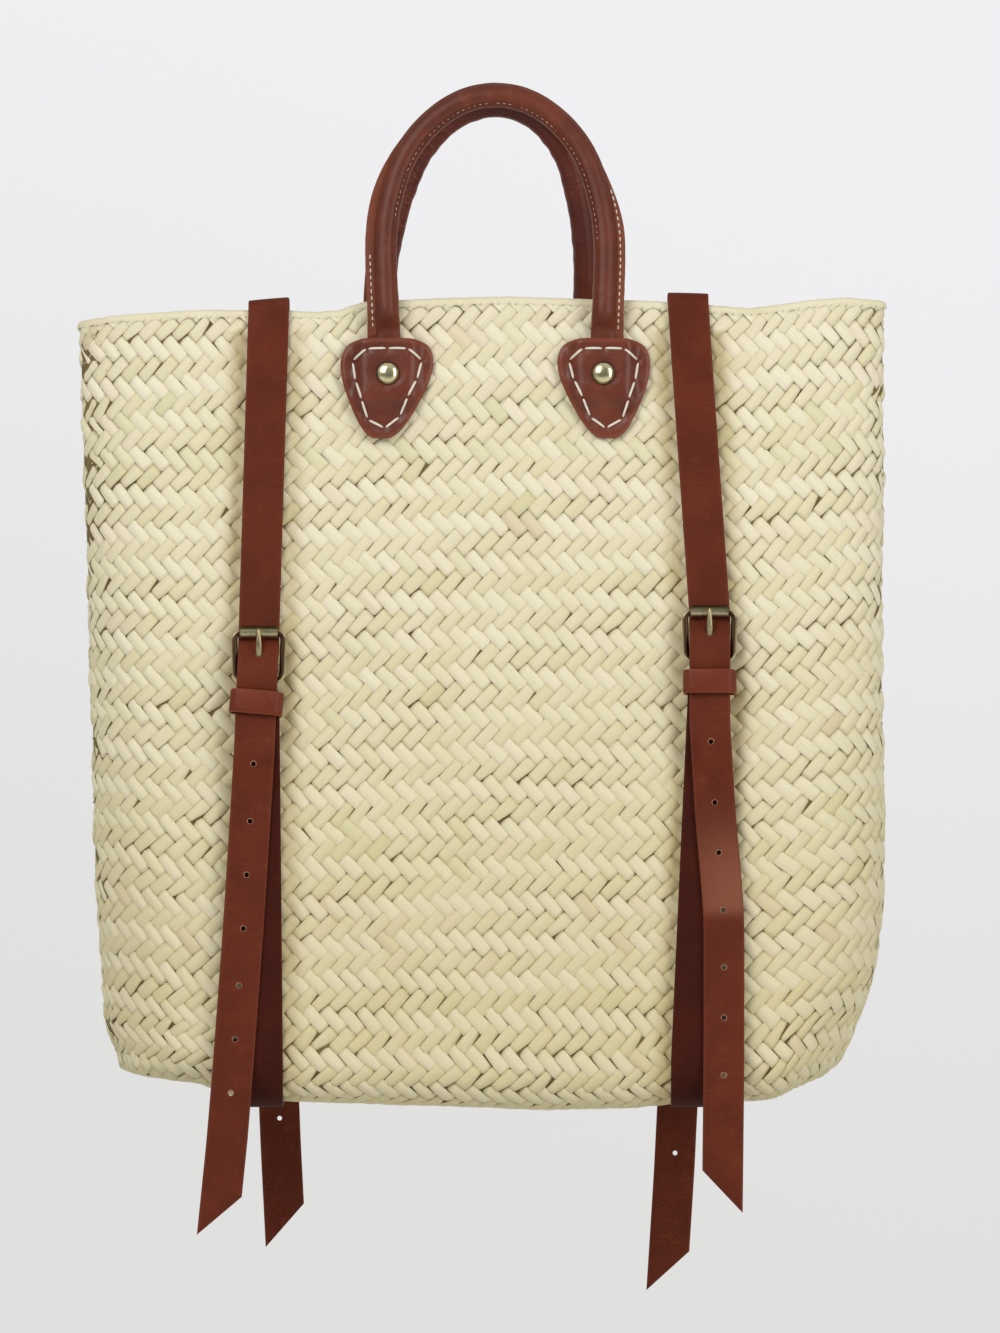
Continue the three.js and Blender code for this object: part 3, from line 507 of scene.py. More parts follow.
def plait_floats(shell, first_row, last_row, along, across):
    """All floats of some rows: their points and, for each point, where it lies on its float."""
    rows = np.arange(first_row, last_row)
    row, column = [g.ravel() for g in np.meshgrid(rows, np.arange(COLUMNS), indexing="ij")]
    count = len(row)
    lean = np.where(row % 2 == 0, -1.0, 1.0)
    along, across = along[None, :, None], across[None, None, :]

    def spread(low, high):
        return rng.uniform(low, high, count)[:, None, None]

    leaning = lean[:, None, None]
    half_length = FLOAT_HALF_LENGTH * spread(0.97, 1.04)
    loose_row = rng.uniform(0.2, 1.5, last_row - first_row)[row - first_row][:, None, None]
    turns = (column / COLUMNS)[:, None, None]
    at_end = sum(np.exp(-((turns - middle) / END_SPREAD) ** 2) for middle in END_TURNS)
    low_edge = eased((row - LOWEST_ROWS) / 2)[:, None, None]
    parted = spread(0, 1) < np.where(leaning > 0, *PARTED_SHARES) * loose_row + at_end + 0.4 * low_edge
    narrowing = spread(0.06, 0.3) + 0.5 * spread(0, 1) ** 6 + 0.2 * at_end + 0.2 * low_edge
    pinch = np.where(leaning > 0, *PINCH_SHARES) * narrowing * parted
    fold = (np.abs(row * ROW_PITCH + FIRST_ROW) < ROW_PITCH * 0.5)[:, None, None]
    pinch = np.where(fold, 0, pinch)
    half_width = FLOAT_HALF_WIDTH * spread(0.97, 1.02)
    rounding = 1 - 0.05 * np.abs(along) ** 6
    turn = spread(-0.03, 0.03)
    s = along * half_length
    towards = np.clip(0.25 + 0.75 * along * np.where(spread(0, 1) < 0.75, -1, 1), 0, 1)
    drawn_side = np.where(across > 0, 1 - pinch * towards, 1)
    t = across * half_width * rounding * drawn_side
    crown = spread(0.6, 1.4)
    tuck = np.abs(along) ** 9
    side_fall = np.where(fold, 0.25, 0.7 * crown) * across ** 2 + np.where(fold, 0.15, 0.5) * np.abs(across) ** 10
    proud = -0.12 - side_fall - TUCK_DEPTH * tuck - spread(0, 0.25) * np.where(fold, 0.3, 1)
    proud = proud + spread(-0.35, 0.35) * across + spread(-0.35, 0.2) * along - 0.25 * along ** 2
    proud = proud - at_end * spread(0, 1.8) * (1 - 0.5 * along ** 2)
    right = s + t * leaning + turn * t
    up = leaning * s - t - turn * s
    stagger = np.where(leaning > 0, 0.0, 0.5)
    columns = column[:, None, None] + stagger + right
    drops = FIRST_ROW + (row[:, None, None] - up) * ROW_PITCH
    wander = WANDER * np.sin(columns * 2 * math.pi / COLUMNS * WANDERS_ROUND + row[:, None, None] * 0.9)
    points = shell.place(columns / COLUMNS, drops + wander, np.minimum(proud, 0))
    course = rng.normal(0, 0.12, last_row - first_row)[row - first_row]
    shade = np.clip(rng.normal(0.5, 0.16, count) + course, 0, 1)[:, None, None]
    # The across share, scaled per float, sets how dark the painted seam shade at its edges is; weaker on floats that
    # lean left.
    seam = across * np.where(fold, 0.86, spread(0.86, 1.08) - np.where(leaning > 0, 0, 0.08))
    # The last part flags floats that lean right, which the leaf material paints darker as shade.
    parts = (along, seam, shade, (leaning > 0) * 1.0)
    strand = np.stack([np.broadcast_to(part, points.shape[:3]) for part in parts], -1)
    return points, strand


def woven_piece(name, points, strand, material):
    count, rows, columns = points.shape[:3]
    one = grid_faces(rows, columns)
    faces = (np.arange(count)[:, None, None] * rows * columns + one[None]).reshape(-1, 4)
    made = make_mesh(name, points.reshape(-1, 3), faces, material)
    give(made, "strand", strand[..., :3].reshape(-1, 3))
    give(made, "rising", strand[..., 3].ravel())
    x, z = points[..., 0].ravel(), points[..., 2].ravel()
    # Painted shade beside the straps, kept off the top row, for the leaf material.
    give(made, "pressed", pressed_share(past_strap(x, z)) * (z < RIM_Z - ROW_PITCH))
    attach(made, "basket")
    return made


def weave_basket():
    shell = Shell()
    leaf = palm_leaf()
    core = woven_core(shell)
    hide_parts("basket_body")
    base_row = int((shell.runs[-1] - FIRST_ROW) / ROW_PITCH) + 2
    lip_row = -1
    inner_row = int((shell.runs[0] - FIRST_ROW) / ROW_PITCH) - 2
    points, strand = plait_floats(shell, lip_row, base_row, FLOAT_ALONG, FLOAT_ACROSS)
    middle = points[:, 3, 2, 1]
    woven_piece("plait_front", points[middle < 0], strand[middle < 0], leaf)
    woven_piece("plait_rear", points[middle >= 0], strand[middle >= 0], leaf)
    points, strand = plait_floats(shell, inner_row + 1, lip_row, INSIDE_ALONG, INSIDE_ACROSS)
    woven_piece("plait_inside", points, strand, leaf)
    rim_fold(shell, leaf)


def rim_fold(shell, leaf):
    """The strands' ends turned over the rim, which lie smooth there and run out between the floats."""
    columns = COLUMNS * 12
    turn = np.arange(columns) / columns
    place = turn * COLUMNS
    teeth = np.abs((place + 0.25) % 1 - 0.5) * 2
    depth = FOLD_DEPTH + FOLD_TEETH * teeth + 0.4 * np.sin(place * 0.9) * np.sin(place * 0.37)
    shares = np.linspace(0, 1, 15)[:, None]
    runs = depth * (1 - shares) - (LIP_RUN + depth) * shares
    edge = np.minimum(shares, 1 - shares) * 2
    swell = 0.15 * (1 - teeth) * np.clip(edge * 3, 0, 1)
    proud = np.where(edge < 0.01, -0.5, swell - 0.1)
    points = shell.place(np.broadcast_to(turn, runs.shape), runs, proud)
    made = make_mesh("rim_fold", points.reshape(-1, 3), grid_faces(len(shares), columns, wrap=True), leaf)
    shade = 0.45 + 0.2 * np.sin(place * 0.8) + 0 * runs
    # Dark lines where the strand ends part: painted seam shade on the smooth fold.
    parting = 0.9 + 0.15 * np.clip(runs / FOLD_DEPTH, 0, 1)
    seam = parting * np.abs((place + 0.25 + runs / ROW_PITCH) % 1 - 0.5) * 2
    give(made, "strand", np.stack([0 * runs, seam, shade], -1).reshape(-1, 3))
    # A quarter of the pressed darkening, even over the whole fold.
    give(made, "pressed", np.full(runs.size, 0.25))
    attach(made, "basket")


def woven_core(shell):
    points = shell.points - shell.normals * CORE_DEPTH
    levels, columns = points.shape[:2]
    made = make_mesh("plait_core", points.reshape(-1, 3), grid_faces(levels, columns, wrap=True), dark_core())
    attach(made, "basket")
    return made


# Leather straps and the roller buckles that join them
STRAP_WIDTH = 20.4
STRAP_THICK = 2.2
STRAP_CORNER = 0.7
STRAP_STEP = 1.8
PRONG_HOLE_RADIUS = 1.9
PRONG_HOLE_REACH = 14
EYE_THICK = 0.75
EYE_ROOM = 0.8
EYE_HALF_WIDTH = 1.4
GAP = 0.3
BAR_RADIUS = 1.2
ROLLER_RADIUS = 2.9
ROLLER_LENGTH = 19.2
BAR_SPACING = 24.5
FRAME_WIDTH = 25.6
FRAME_NARROWING = 0.6
FRAME_CORNER = 4
WIRE_SIDE_WIDTH = 3.3
FOLD_WIDTH = 16.6
FOLD_BACK = 33
SHOULDER = 9
SETTLE = 24
TAIL_HINGE_DROP = 32
TAIL_STAND_OFF = 0.5
MOUTH_CORNER = 5
TIP_CUT = 21
MOUTH_TILT_RUN = 16
HOLE_RADIUS = 1.5
HOLE_FLARE = 0.5
HOLE_SPREAD = 1.8
HOLE_PITCH = 27.5
HOLE_COUNT = 7
HOLE_DRIFTS = (0, 0.6, -1.3, 0, -0.2, -1.6, 0)
KEEPER_HEIGHT = 12
KEEPER_THICK = 1.6
KEEPER_SIDE_ROOM = 1.5
KEEPER_FRONT_ROOM = 2
KEEPER_DROP = 11.2
KEEPER_CORNER = 4.2
CLIMB_SHARES = [(0.16, 0.1), (0.33, 0.37), (0.49, 0.64), (0.65, 0.84), (0.82, 0.96)]
UNDER_SHOULDER_SHARES = [(0.33, 0.72), (0.67, 0.24), (1, 0)]
OVER_SHOULDER_SHARES = [(0, 1), (0.33, 0.85), (0.67, 0.42), (1, 0.08), (1.3, 0)]
SETTLE_SHARES = [(0, 1), (0.2, 0.86), (0.5, 0.5), (0.8, 0.14), (1, 0)]
PRONG_SHARES = [(0.1, 0), (0.34, 0.02), (0.5, 0.38), (0.66, 0.86), (0.84, 1), (1, 1)]
PRONG_WIDTHS = [1.0, 1.1, 1.5, 1.6, 1.25, 1.05, 0.8]
EVEN_SHARES = [(0, 0), (0.35, 0.28), (0.62, 0.54), (0.8, 0.73), (1, 1)]
KINKED_SHARES = [(0, 0), (0.2, 0.42), (0.38, 1), (0.7, 0.98), (1, 0.86)]

ON_FACE = GAP + STRAP_THICK / 2
LAYER = STRAP_THICK + GAP
BAR_LEVEL = GAP + STRAP_THICK + GAP + ROLLER_RADIUS
FOLD_RADIUS = BAR_RADIUS + GAP + STRAP_THICK / 2
BACK_LEVEL = GAP + KEEPER_THICK + GAP + STRAP_THICK / 2
MAIN_LEVEL = BACK_LEVEL + LAYER
TAIL_LEVEL = MAIN_LEVEL + LAYER
CROWN_LEVEL = BAR_LEVEL + FOLD_RADIUS + LAYER

LEFT_LOOP = {
    "name": "left", "mouth_tilt": 5, "mouth_z": -97.8, "top_x": -108.8, "base_x": -111.5, "roller_z": -259.2,
}
RIGHT_LOOP = {
    "name": "right", "mouth_tilt": -1.5, "mouth_z": -94.9, "top_x": 101.2, "base_x": 102.5, "roller_z": -248.8,
}
ENDS = [
    {"loop": LEFT_LOOP, "face": "front", "x": -113.5, "tip_z": -560, "sway": -18.5, "drift": -2, "shares": EVEN_SHARES,
     "last_hole": 71, "long_side": -1, "keeper_turn": -5, "tail_roll": -5},
    {"loop": LEFT_LOOP, "face": "rear", "x": -110.5, "tip_z": -568, "sway": 9.5, "drift": 0, "shares": EVEN_SHARES,
     "last_hole": 65, "long_side": -1, "keeper_turn": 2, "tail_roll": 3},
    {"loop": RIGHT_LOOP, "face": "front", "x": 111.8, "tip_z": -548, "sway": 7, "drift": 0, "shares": KINKED_SHARES,
     "last_hole": 69, "long_side": 1, "keeper_turn": 0, "tail_roll": 4},
    {"loop": RIGHT_LOOP, "face": "rear", "x": 104.5, "tip_z": -591, "sway": -13.5, "drift": 0, "shares": EVEN_SHARES,
     "last_hole": 70, "long_side": -1, "keeper_turn": -2, "tail_roll": -3},
]


def side_of(end):
    return -1 if end["face"] == "front" else 1


def corner_name(end):
    return f"{end['face']}_{end['loop']['name']}"


def face_point(side, x, drop, out):
    """A point on a leaning face from its drop below the rim plane and how far it stands off."""
    y = side * (RIM_HALF_DEPTH + drop * math.sin(TILT) + out * math.cos(TILT))
    z = RIM_Z - drop * math.cos(TILT) + out * math.sin(TILT)
    return np.array([x, y, z])


def drop_of(z):
    return (RIM_Z - z) / math.cos(TILT)


def heel_drop(end):
    return drop_of(end["loop"]["roller_z"]) + BAR_SPACING


FACE_END = drop_of(BASE_Z + BASE_EDGE_RADIUS)


def eased_path(points, step):
    """Rounds a route's corners twice, then spaces it evenly. Extra columns of a point go along."""
    path = np.asarray(points, float)
    for _ in range(2):
        early = path[:-1] * 0.75 + path[1:] * 0.25
        late = path[:-1] * 0.25 + path[1:] * 0.75
        inner = np.stack([early, late], axis=1).reshape(-1, path.shape[1])
        path = np.concatenate([path[:1], inner[1:-1], path[-1:]])
    lengths = runs_along(path[:, :3])
    at = np.linspace(0, lengths[-1], max(3, round(lengths[-1] / step) + 1))
    return np.stack([np.interp(at, lengths, path[:, k]) for k in range(path.shape[1])], axis=1)


def unit(vectors):
    return vectors / np.maximum(np.linalg.norm(vectors, axis=-1, keepdims=True), 1e-9)


def strap_section(width, corner, thick=STRAP_THICK):
    """Half sizes of a strap's section: flat faces with a slight crown and softly rounded edges."""
    half, up = width / 2, thick / 2
    turn = np.linspace(0, math.pi / 2, 4)
    right = [(half - corner + corner * math.sin(a), up - corner + corner * math.cos(a)) for a in turn]
    top = [(half * s, up + 0.12 * (1 - s * s)) for s in (-0.86, -0.5, 0, 0.5, 0.86)]
    left = [(-x, y) for x, y in right[::-1]]
    upper = left + top + right
    lower = [(x, -y) for x, y in upper[::-1]]
    return np.array(upper + lower)


def swept(name, rings, material, closed=False):
    """A closed skin through rings of points, capped unless it joins up."""
    count, around = rings.shape[:2]
    faces = grid_faces(count, around, wrap=True).tolist()
    if closed:
        first, last = np.arange(around), (count - 1) * around + np.arange(around)
        faces += np.stack([last, np.roll(last, -1), np.roll(first, -1), first], axis=1).tolist()
    else:
        faces += [list(range(around))[::-1], list(range((count - 1) * around, count * around))]
    mesh = bpy.data.meshes.new(name)
    mesh.from_pydata((rings.reshape(-1, 3) * mm).tolist(), [], faces)
    mesh.materials.append(material)
    return shown(name, mesh)


def shown(name, mesh, sharp_angle=40):
    """Turns a mesh's faces outwards, smooths all but its sharp edges and puts it in the scene."""
    body = bmesh.new()
    body.from_mesh(mesh)
    bmesh.ops.recalc_face_normals(body, faces=body.faces)
    body.to_mesh(mesh)
    body.free()
    mesh.polygons.foreach_set("use_smooth", [True] * len(mesh.polygons))
    mesh.set_sharp_from_angle(angle=math.radians(sharp_angle))
    made = bpy.data.objects.new(name, mesh)
    bpy.context.scene.collection.objects.link(made)
    return made


def strap_frames(path, outward=None, roll=None):
    """Directions along, across and out of a strap at each point of its path, turned about it by a roll."""
    along = unit(np.gradient(path[:, :3], axis=0))
    across = np.tile([1.0, 0, 0], (len(path), 1))
    across = unit(across - along * (across * along).sum(axis=1, keepdims=True))
    out = np.cross(across, along)
    if outward is not None:
        out = out * np.sign((out * outward).sum(axis=1, keepdims=True) + 1e-9)
    if roll is not None:
        turned = across * np.cos(roll)[:, None] + out * np.sin(roll)[:, None]
        out = out * np.cos(roll)[:, None] - across * np.sin(roll)[:, None]
        across = turned
    return along, across, out


def strap_piece(name, path, widths, material, frames, cut=None, punches=()):
    """A strap along a path. A cut draws one edge back at the end, and punches leave its holes."""
    along, across, out = frames
    section = strap_section(STRAP_WIDTH, STRAP_CORNER)
    spread = section[None, :, 0] * (widths / STRAP_WIDTH)[:, None]
    rings = path[:, None, :3] + across[:, None] * spread[..., None] + out[:, None] * section[None, :, 1, None]
    if cut is not None:
        back = cut["share"][:, None] * (0.5 + cut["short_side"] * section[None, :, 0] / STRAP_WIDTH)
        rings = rings - along[:, None] * (TIP_CUT * back)[..., None]
    made = swept(name, rings, material)
    if punches:
        punch(made, punches)
    mark_leather(made, path, across, out)
    return made


def mark_leather(made, path, across, out):
    """Stores for each point its place along and across the strap, and on which face it is."""
    points = np.array([v.co for v in made.data.vertices]) / mm
    nearest = np.array([np.argmin(((path[:, :3] - p) ** 2).sum(axis=1)) for p in points])
    offset = points - path[nearest, :3]
    sideways = (offset * across[nearest]).sum(axis=1) / (STRAP_WIDTH / 2)
    facing = (offset * out[nearest]).sum(axis=1) / (STRAP_THICK / 2)
    lengths = runs_along(path[:, :3])
    give(made, "hide", np.stack([lengths[nearest], sideways, facing], axis=1))


def buckled_route(end):
    """An upper strap from the middle of the mouth, down its face and under the roller to the tail's hinge."""
    side, loop = side_of(end), end["loop"]
    heel = heel_drop(end)
    roller = heel - BAR_SPACING
    edge = face_point(side, loop["top_x"], drop_of(loop["mouth_z"]), ON_FACE)
    route = [(loop["top_x"], 0, edge[2] + MOUTH_CORNER)]
    for angle in np.linspace(math.pi / 2, 0, 5):
        y = edge[1] - side * MOUTH_CORNER * (1 - math.cos(angle))
        route.append((loop["top_x"], y, edge[2] + MOUTH_CORNER * math.sin(angle)))
    drops = [(roller / 2, ON_FACE), (roller, ON_FACE)]
    for share, climb in CLIMB_SHARES:
        drops.append((roller + share * BAR_SPACING, ON_FACE + climb * (CROWN_LEVEL - ON_FACE)))
    for share, left in OVER_SHOULDER_SHARES:
        drops.append((heel + share * SHOULDER, TAIL_LEVEL + left * (CROWN_LEVEL - TAIL_LEVEL)))
    drops.append((heel + TAIL_HINGE_DROP, TAIL_LEVEL))
    for drop, out in drops:
        x = loop["top_x"] + (end["x"] - loop["top_x"]) * min(drop / roller, 1)
        x += end["drift"] * float(eased((drop - roller) / (heel + TAIL_HINGE_DROP - roller)))
        route.append(tuple(face_point(side, x, drop, out)))
    return route


def tail_route(end):
    """The loose end below the hinge: down over the base strap, then straight past the base."""
    side = side_of(end)
    heel = heel_drop(end)
    start_z = face_point(side, end["x"], heel + TAIL_HINGE_DROP, TAIL_LEVEL)[2]
    low = ON_FACE + LAYER
    route = []
    for share, left in SETTLE_SHARES:
        drop = heel + FOLD_BACK + LAYER + share * SETTLE
        route.append(face_point(side, end["x"], drop, low + TAIL_STAND_OFF + left * (TAIL_LEVEL - low)))
    settled = heel + FOLD_BACK + LAYER + SETTLE
    for share in np.linspace(0, 1, 7)[1:]:
        drop = settled + (FACE_END - settled) * share
        route.append(face_point(side, end["x"], drop, low + TAIL_STAND_OFF))
    leave = route[-1]
    for share in np.linspace(0, 1, 7)[1:]:
        z = leave[2] + (end["tip_z"] - leave[2]) * share
        lean = (leave[2] - z) * math.tan(TILT) * (1 - share / 2)
        route.append(np.array([end["x"], leave[1] + side * lean, z]))
    for point in route:
        point[0] += end["drift"] + sway_at(end, start_z, point[2])
    return [tuple(p) for p in route], start_z, leave[2]


def sway_at(end, start_z, z):
    shares = np.array(end["shares"])
    return end["sway"] * np.interp((start_z - z) / (start_z - end["tip_z"]), shares[:, 0], shares[:, 1])


def punch(made, cutters):
    """Cuts round holes through a strap."""
    group = bpy.data.collections.new(f"{made.name}_punches")
    for cutter in cutters:
        group.objects.link(cutter)
    change = made.modifiers.new("holes", "BOOLEAN")
    change.operand_type = "COLLECTION"
    change.collection = group
    change.solver = "EXACT"
    view = bpy.context.evaluated_depsgraph_get()
    mesh = bpy.data.meshes.new_from_object(made.evaluated_get(view))
    made.modifiers.clear()
    old = made.data
    made.data = mesh
    bpy.data.meshes.remove(old)
    for cutter in cutters:
        bpy.data.objects.remove(cutter)
    bpy.data.collections.remove(group)


def hole_punch(centre, direction, radius, length, flare=1):
    """A round punch across a strap, standing at its centre along a direction, wider by a flare where it ends."""
    direction = unit(np.array(direction, float))
    first = unit(np.cross(direction, [0.3, 0.5, 0.8]))
    second = np.cross(direction, first)
    angles = np.linspace(0, 2 * math.pi, 20, endpoint=False)[:, None]
    circle = radius * (np.cos(angles) * first + np.sin(angles) * second)
    rings = np.stack([centre - direction * length / 2 + circle, centre + direction * length / 2 + circle * flare])
    count = len(angles)
    faces = grid_faces(2, count, wrap=True).tolist() + [list(range(count))[::-1], list(range(count, 2 * count))]
    mesh = bpy.data.meshes.new("punch")
    mesh.from_pydata((rings.reshape(-1, 3) * mm).tolist(), [], faces)
    made = bpy.data.objects.new("punch", mesh)
    bpy.context.scene.collection.objects.link(made)
    return made


def buckled_strap(end, leather):
    """An upper strap's front or rear half with its loose end."""
    side = side_of(end)
    tail, start_z, leave_z = tail_route(end)
    path = eased_path(buckled_route(end) + tail, STRAP_STEP)
    hanging = np.clip((leave_z - path[:, 2]) / (leave_z - end["tip_z"]), 0, 1)
    cut = {"share": hanging, "short_side": -end["long_side"]}
    loose = eased((start_z - path[:, 2]) / 90)
    at_mouth = eased((path[:, 2] - RIM_Z + MOUTH_TILT_RUN) / MOUTH_TILT_RUN)
    roll = np.radians(end["tail_roll"]) * loose + np.radians(end["loop"]["mouth_tilt"]) * at_mouth
    outward = np.where(path[:, 2:3] > RIM_Z + 4, [[0, 0, 1.0]], [[0, float(side), 0.0]])
    punches = []
    for i in range(HOLE_COUNT):
        z = end["tip_z"] + end["last_hole"] + i * HOLE_PITCH + HOLE_DRIFTS[i]
        if z < start_z - HOLE_RADIUS - 2:
            low = np.argmin(np.abs(path[:, 2] - z))
            out = (0, side * math.cos(TILT), math.sin(TILT))
            punches.append(hole_punch(path[low, :3], out, HOLE_RADIUS - HOLE_FLARE, STRAP_THICK * 2, HOLE_SPREAD))
    seat = heel_drop(end) - BAR_SPACING * 0.52
    middle = face_point(side, end["x"], seat, CROWN_LEVEL * 0.6)
    punches.append(hole_punch(middle, (0, 1, 0.35 * side), PRONG_HOLE_RADIUS, PRONG_HOLE_REACH))
    name = f"{corner_name(end)}_strap"
    frames = strap_frames(path, outward, roll)
    made = strap_piece(name, path, np.full(len(path), STRAP_WIDTH), leather, frames, cut, punches)
    hinge = face_point(side, end["x"], heel_drop(end) + TAIL_HINGE_DROP, TAIL_LEVEL)
    down = np.array([0, side * math.sin(TILT), -math.cos(TILT)])
    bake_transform(made)
    return made


def base_route(end):
    side, loop = side_of(end), end["loop"]
    heel = heel_drop(end)
    route = [(heel + FOLD_BACK, BACK_LEVEL, FOLD_WIDTH), (heel + SHOULDER, BACK_LEVEL, FOLD_WIDTH)]
    for angle in np.linspace(0, math.pi, 9):
        out = BAR_LEVEL - FOLD_RADIUS * math.cos(angle)
        route.append((heel - FOLD_RADIUS * math.sin(angle), out, FOLD_WIDTH))
    top = BAR_LEVEL + FOLD_RADIUS
    for share, left in UNDER_SHOULDER_SHARES:
        width = FOLD_WIDTH + (STRAP_WIDTH - FOLD_WIDTH) * share
        route.append((heel + share * SHOULDER, MAIN_LEVEL + left * (top - MAIN_LEVEL), width))
    for share, left in SETTLE_SHARES:
        drop = heel + FOLD_BACK + LAYER + share * SETTLE
        route.append((drop, ON_FACE + left * (MAIN_LEVEL - ON_FACE), STRAP_WIDTH))
    stations = []
    for drop, out, width in route:
        share = np.clip((drop - heel) / (FACE_END - heel), 0, 1)
        x = end["x"] + (loop["base_x"] - end["x"]) * share
        stations.append((*face_point(side, x, drop, out), width))
    radius = BASE_EDGE_RADIUS + ON_FACE
    for angle in np.linspace(0, math.pi / 2, 9):
        z = BASE_Z + BASE_EDGE_RADIUS - radius * math.sin(angle)
        face_y = RIM_HALF_DEPTH + (RIM_Z - BASE_Z - BASE_EDGE_RADIUS * (1 - math.sin(angle))) * math.tan(TILT)
        y = face_y - BASE_EDGE_RADIUS + radius * math.cos(angle)
        stations.append((loop["base_x"], side * y, z, STRAP_WIDTH))
    return stations


def base_strap(loop, leather):
    """A lower strap under the base, folded back round the heel bar of its two buckles."""
    front, rear = [end for end in ENDS if end["loop"] is loop]
    stations = base_route(front) + base_route(rear)[::-1]
    path = eased_path(stations, STRAP_STEP)
    made = strap_piece(f"{loop['name']}_lower_strap", path, path[:, 3], leather, strap_frames(path))
    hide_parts(f"{loop['name']}_base_strap")
    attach(made, "basket")


def buckle_point(end, across, up, out):
    """A point in a buckle's own frame, whose origin is under the heel bar on the face."""
    return face_point(side_of(end), end["x"] + across, heel_drop(end) - up, out)


def buckle_frame(end, metal):
    """The bent wire of a buckle: round in section, a little narrower at its heel."""
    path = []
    for k, (sx, sy) in enumerate(((1, 1), (-1, 1), (-1, -1), (1, -1))):
        half = FRAME_WIDTH / 2 - (FRAME_NARROWING if sy < 0 else 0)
        cy = BAR_SPACING / 2 + sy * (BAR_SPACING / 2 - FRAME_CORNER)
        for turn in np.linspace(0, 1, 7):
            angle = math.pi / 2 * (k + turn)
            x = sx * (half - FRAME_CORNER) + FRAME_CORNER * math.cos(angle)
            path.append((x, cy + FRAME_CORNER * math.sin(angle)))
    path = np.array(path)
    along = unit(np.roll(path, -1, axis=0) - np.roll(path, 1, axis=0))
    outward = np.stack([along[:, 1], -along[:, 0]], axis=1)
    rings, rubbed = [], []
    angles = np.linspace(0, 2 * math.pi, 18, endpoint=False)
    for (x, y), (ox, oy) in zip(path, outward):
        side_share = abs(ox)
        inward = (WIRE_SIDE_WIDTH / 2 - BAR_RADIUS) * side_share
        wide = BAR_RADIUS + inward
        middle = (x - ox * inward, y - oy * inward)
        rings.append([buckle_point(end, middle[0] + ox * wide * math.cos(a), middle[1] + oy * wide * math.cos(a),
                                   BAR_LEVEL + BAR_RADIUS * 1.15 * math.sin(a)) for a in angles])
        # Brighter on the outer side of the wire and at its corners: partly worn metal, partly painted highlight.
        bend = 2 * abs(ox * oy)
        rubbed.append((np.cos(angles) * 0.5 + 0.5) ** 2 * (0.95 + 0.4 * bend))
    name = f"{corner_name(end)}_buckle_wire"
    made = swept(name, np.array(rings), metal, closed=True)
    give(made, "rubbed", np.array(rubbed).ravel())
    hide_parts(f"{corner_name(end)}_buckle_frame")
    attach(made, "basket")


def buckle_roller(end, metal):
    """The rolled tube on a buckle's top bar, with turned-in ends."""
    bore = BAR_RADIUS + GAP
    half, lip = ROLLER_LENGTH / 2, 0.5
    profile = [(bore, -half + lip), (bore + 0.4, -half), (ROLLER_RADIUS - lip, -half), (ROLLER_RADIUS, -half + lip)]
    profile += [(ROLLER_RADIUS + 0.06, -half / 2), (ROLLER_RADIUS + 0.06, half / 2)]
    profile += [(r, -x) for r, x in profile[3::-1]]
    rings = []
    for angle in np.linspace(0, 2 * math.pi, 32, endpoint=False):
        c, s = math.cos(angle), math.sin(angle)
        rings.append([buckle_point(end, x, BAR_SPACING + r * c, BAR_LEVEL + r * s) for r, x in profile])
    made = swept(f"{corner_name(end)}_roller_tube", np.array(rings), metal, closed=True)
    # Darker over the top of the roller and bright below: painted reflection, which turns with the roller.
    turns = np.linspace(0, 2 * math.pi, 32, endpoint=False)
    give(made, "rubbed", np.repeat(0.72 - 0.5 * np.cos(turns), len(profile)))
    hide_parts(f"{corner_name(end)}_buckle_roller")
    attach(made, f"{corner_name(end)}_roller")


def buckle_prong(end, metal):
    """The tongue of a buckle: a ring round the heel bar and a blade up through the strap to the roller."""
    top = BAR_LEVEL + ROLLER_RADIUS + GAP + 0.9
    low = BAR_LEVEL + 0.5
    route = [(-1.2, low - 0.2, 0.9)]
    for (share, rise), width in zip(PRONG_SHARES, PRONG_WIDTHS):
        route.append((share * BAR_SPACING, low + rise * (top - low), width))
    route.append((BAR_SPACING + 1.3, top - 0.1, PRONG_WIDTHS[-1]))
    path = eased_path([(y, out, 0, width) for y, out, width in route], 0.8)
    angles = np.linspace(0, 2 * math.pi, 12, endpoint=False)
    rings = []
    for y, out, _, width in path:
        share = np.clip((path[-1, 0] - y) / 1.2, 0.15, 1) ** 0.5
        high = 0.85 * share
        rings.append([buckle_point(end, width * share * math.cos(a), y, out + high * math.sin(a)) for a in angles])
    made = swept(f"{corner_name(end)}_prong_blade", np.array(rings), metal)
    ring = []
    for turn in np.linspace(0, 2 * math.pi, 24, endpoint=False):
        c, s = math.cos(turn), math.sin(turn)
        middle = BAR_RADIUS + GAP + EYE_ROOM
        ring.append([buckle_point(end, EYE_HALF_WIDTH * math.cos(a), (middle + EYE_THICK * math.sin(a)) * c,
                                  BAR_LEVEL + (middle + EYE_THICK * math.sin(a)) * s) for a in angles])
    loop = swept(f"{corner_name(end)}_prong_eye", np.array(ring), metal, closed=True)
    for piece in (made, loop):
        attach(piece, f"{corner_name(end)}_prong")
    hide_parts(f"{corner_name(end)}_buckle_prong")


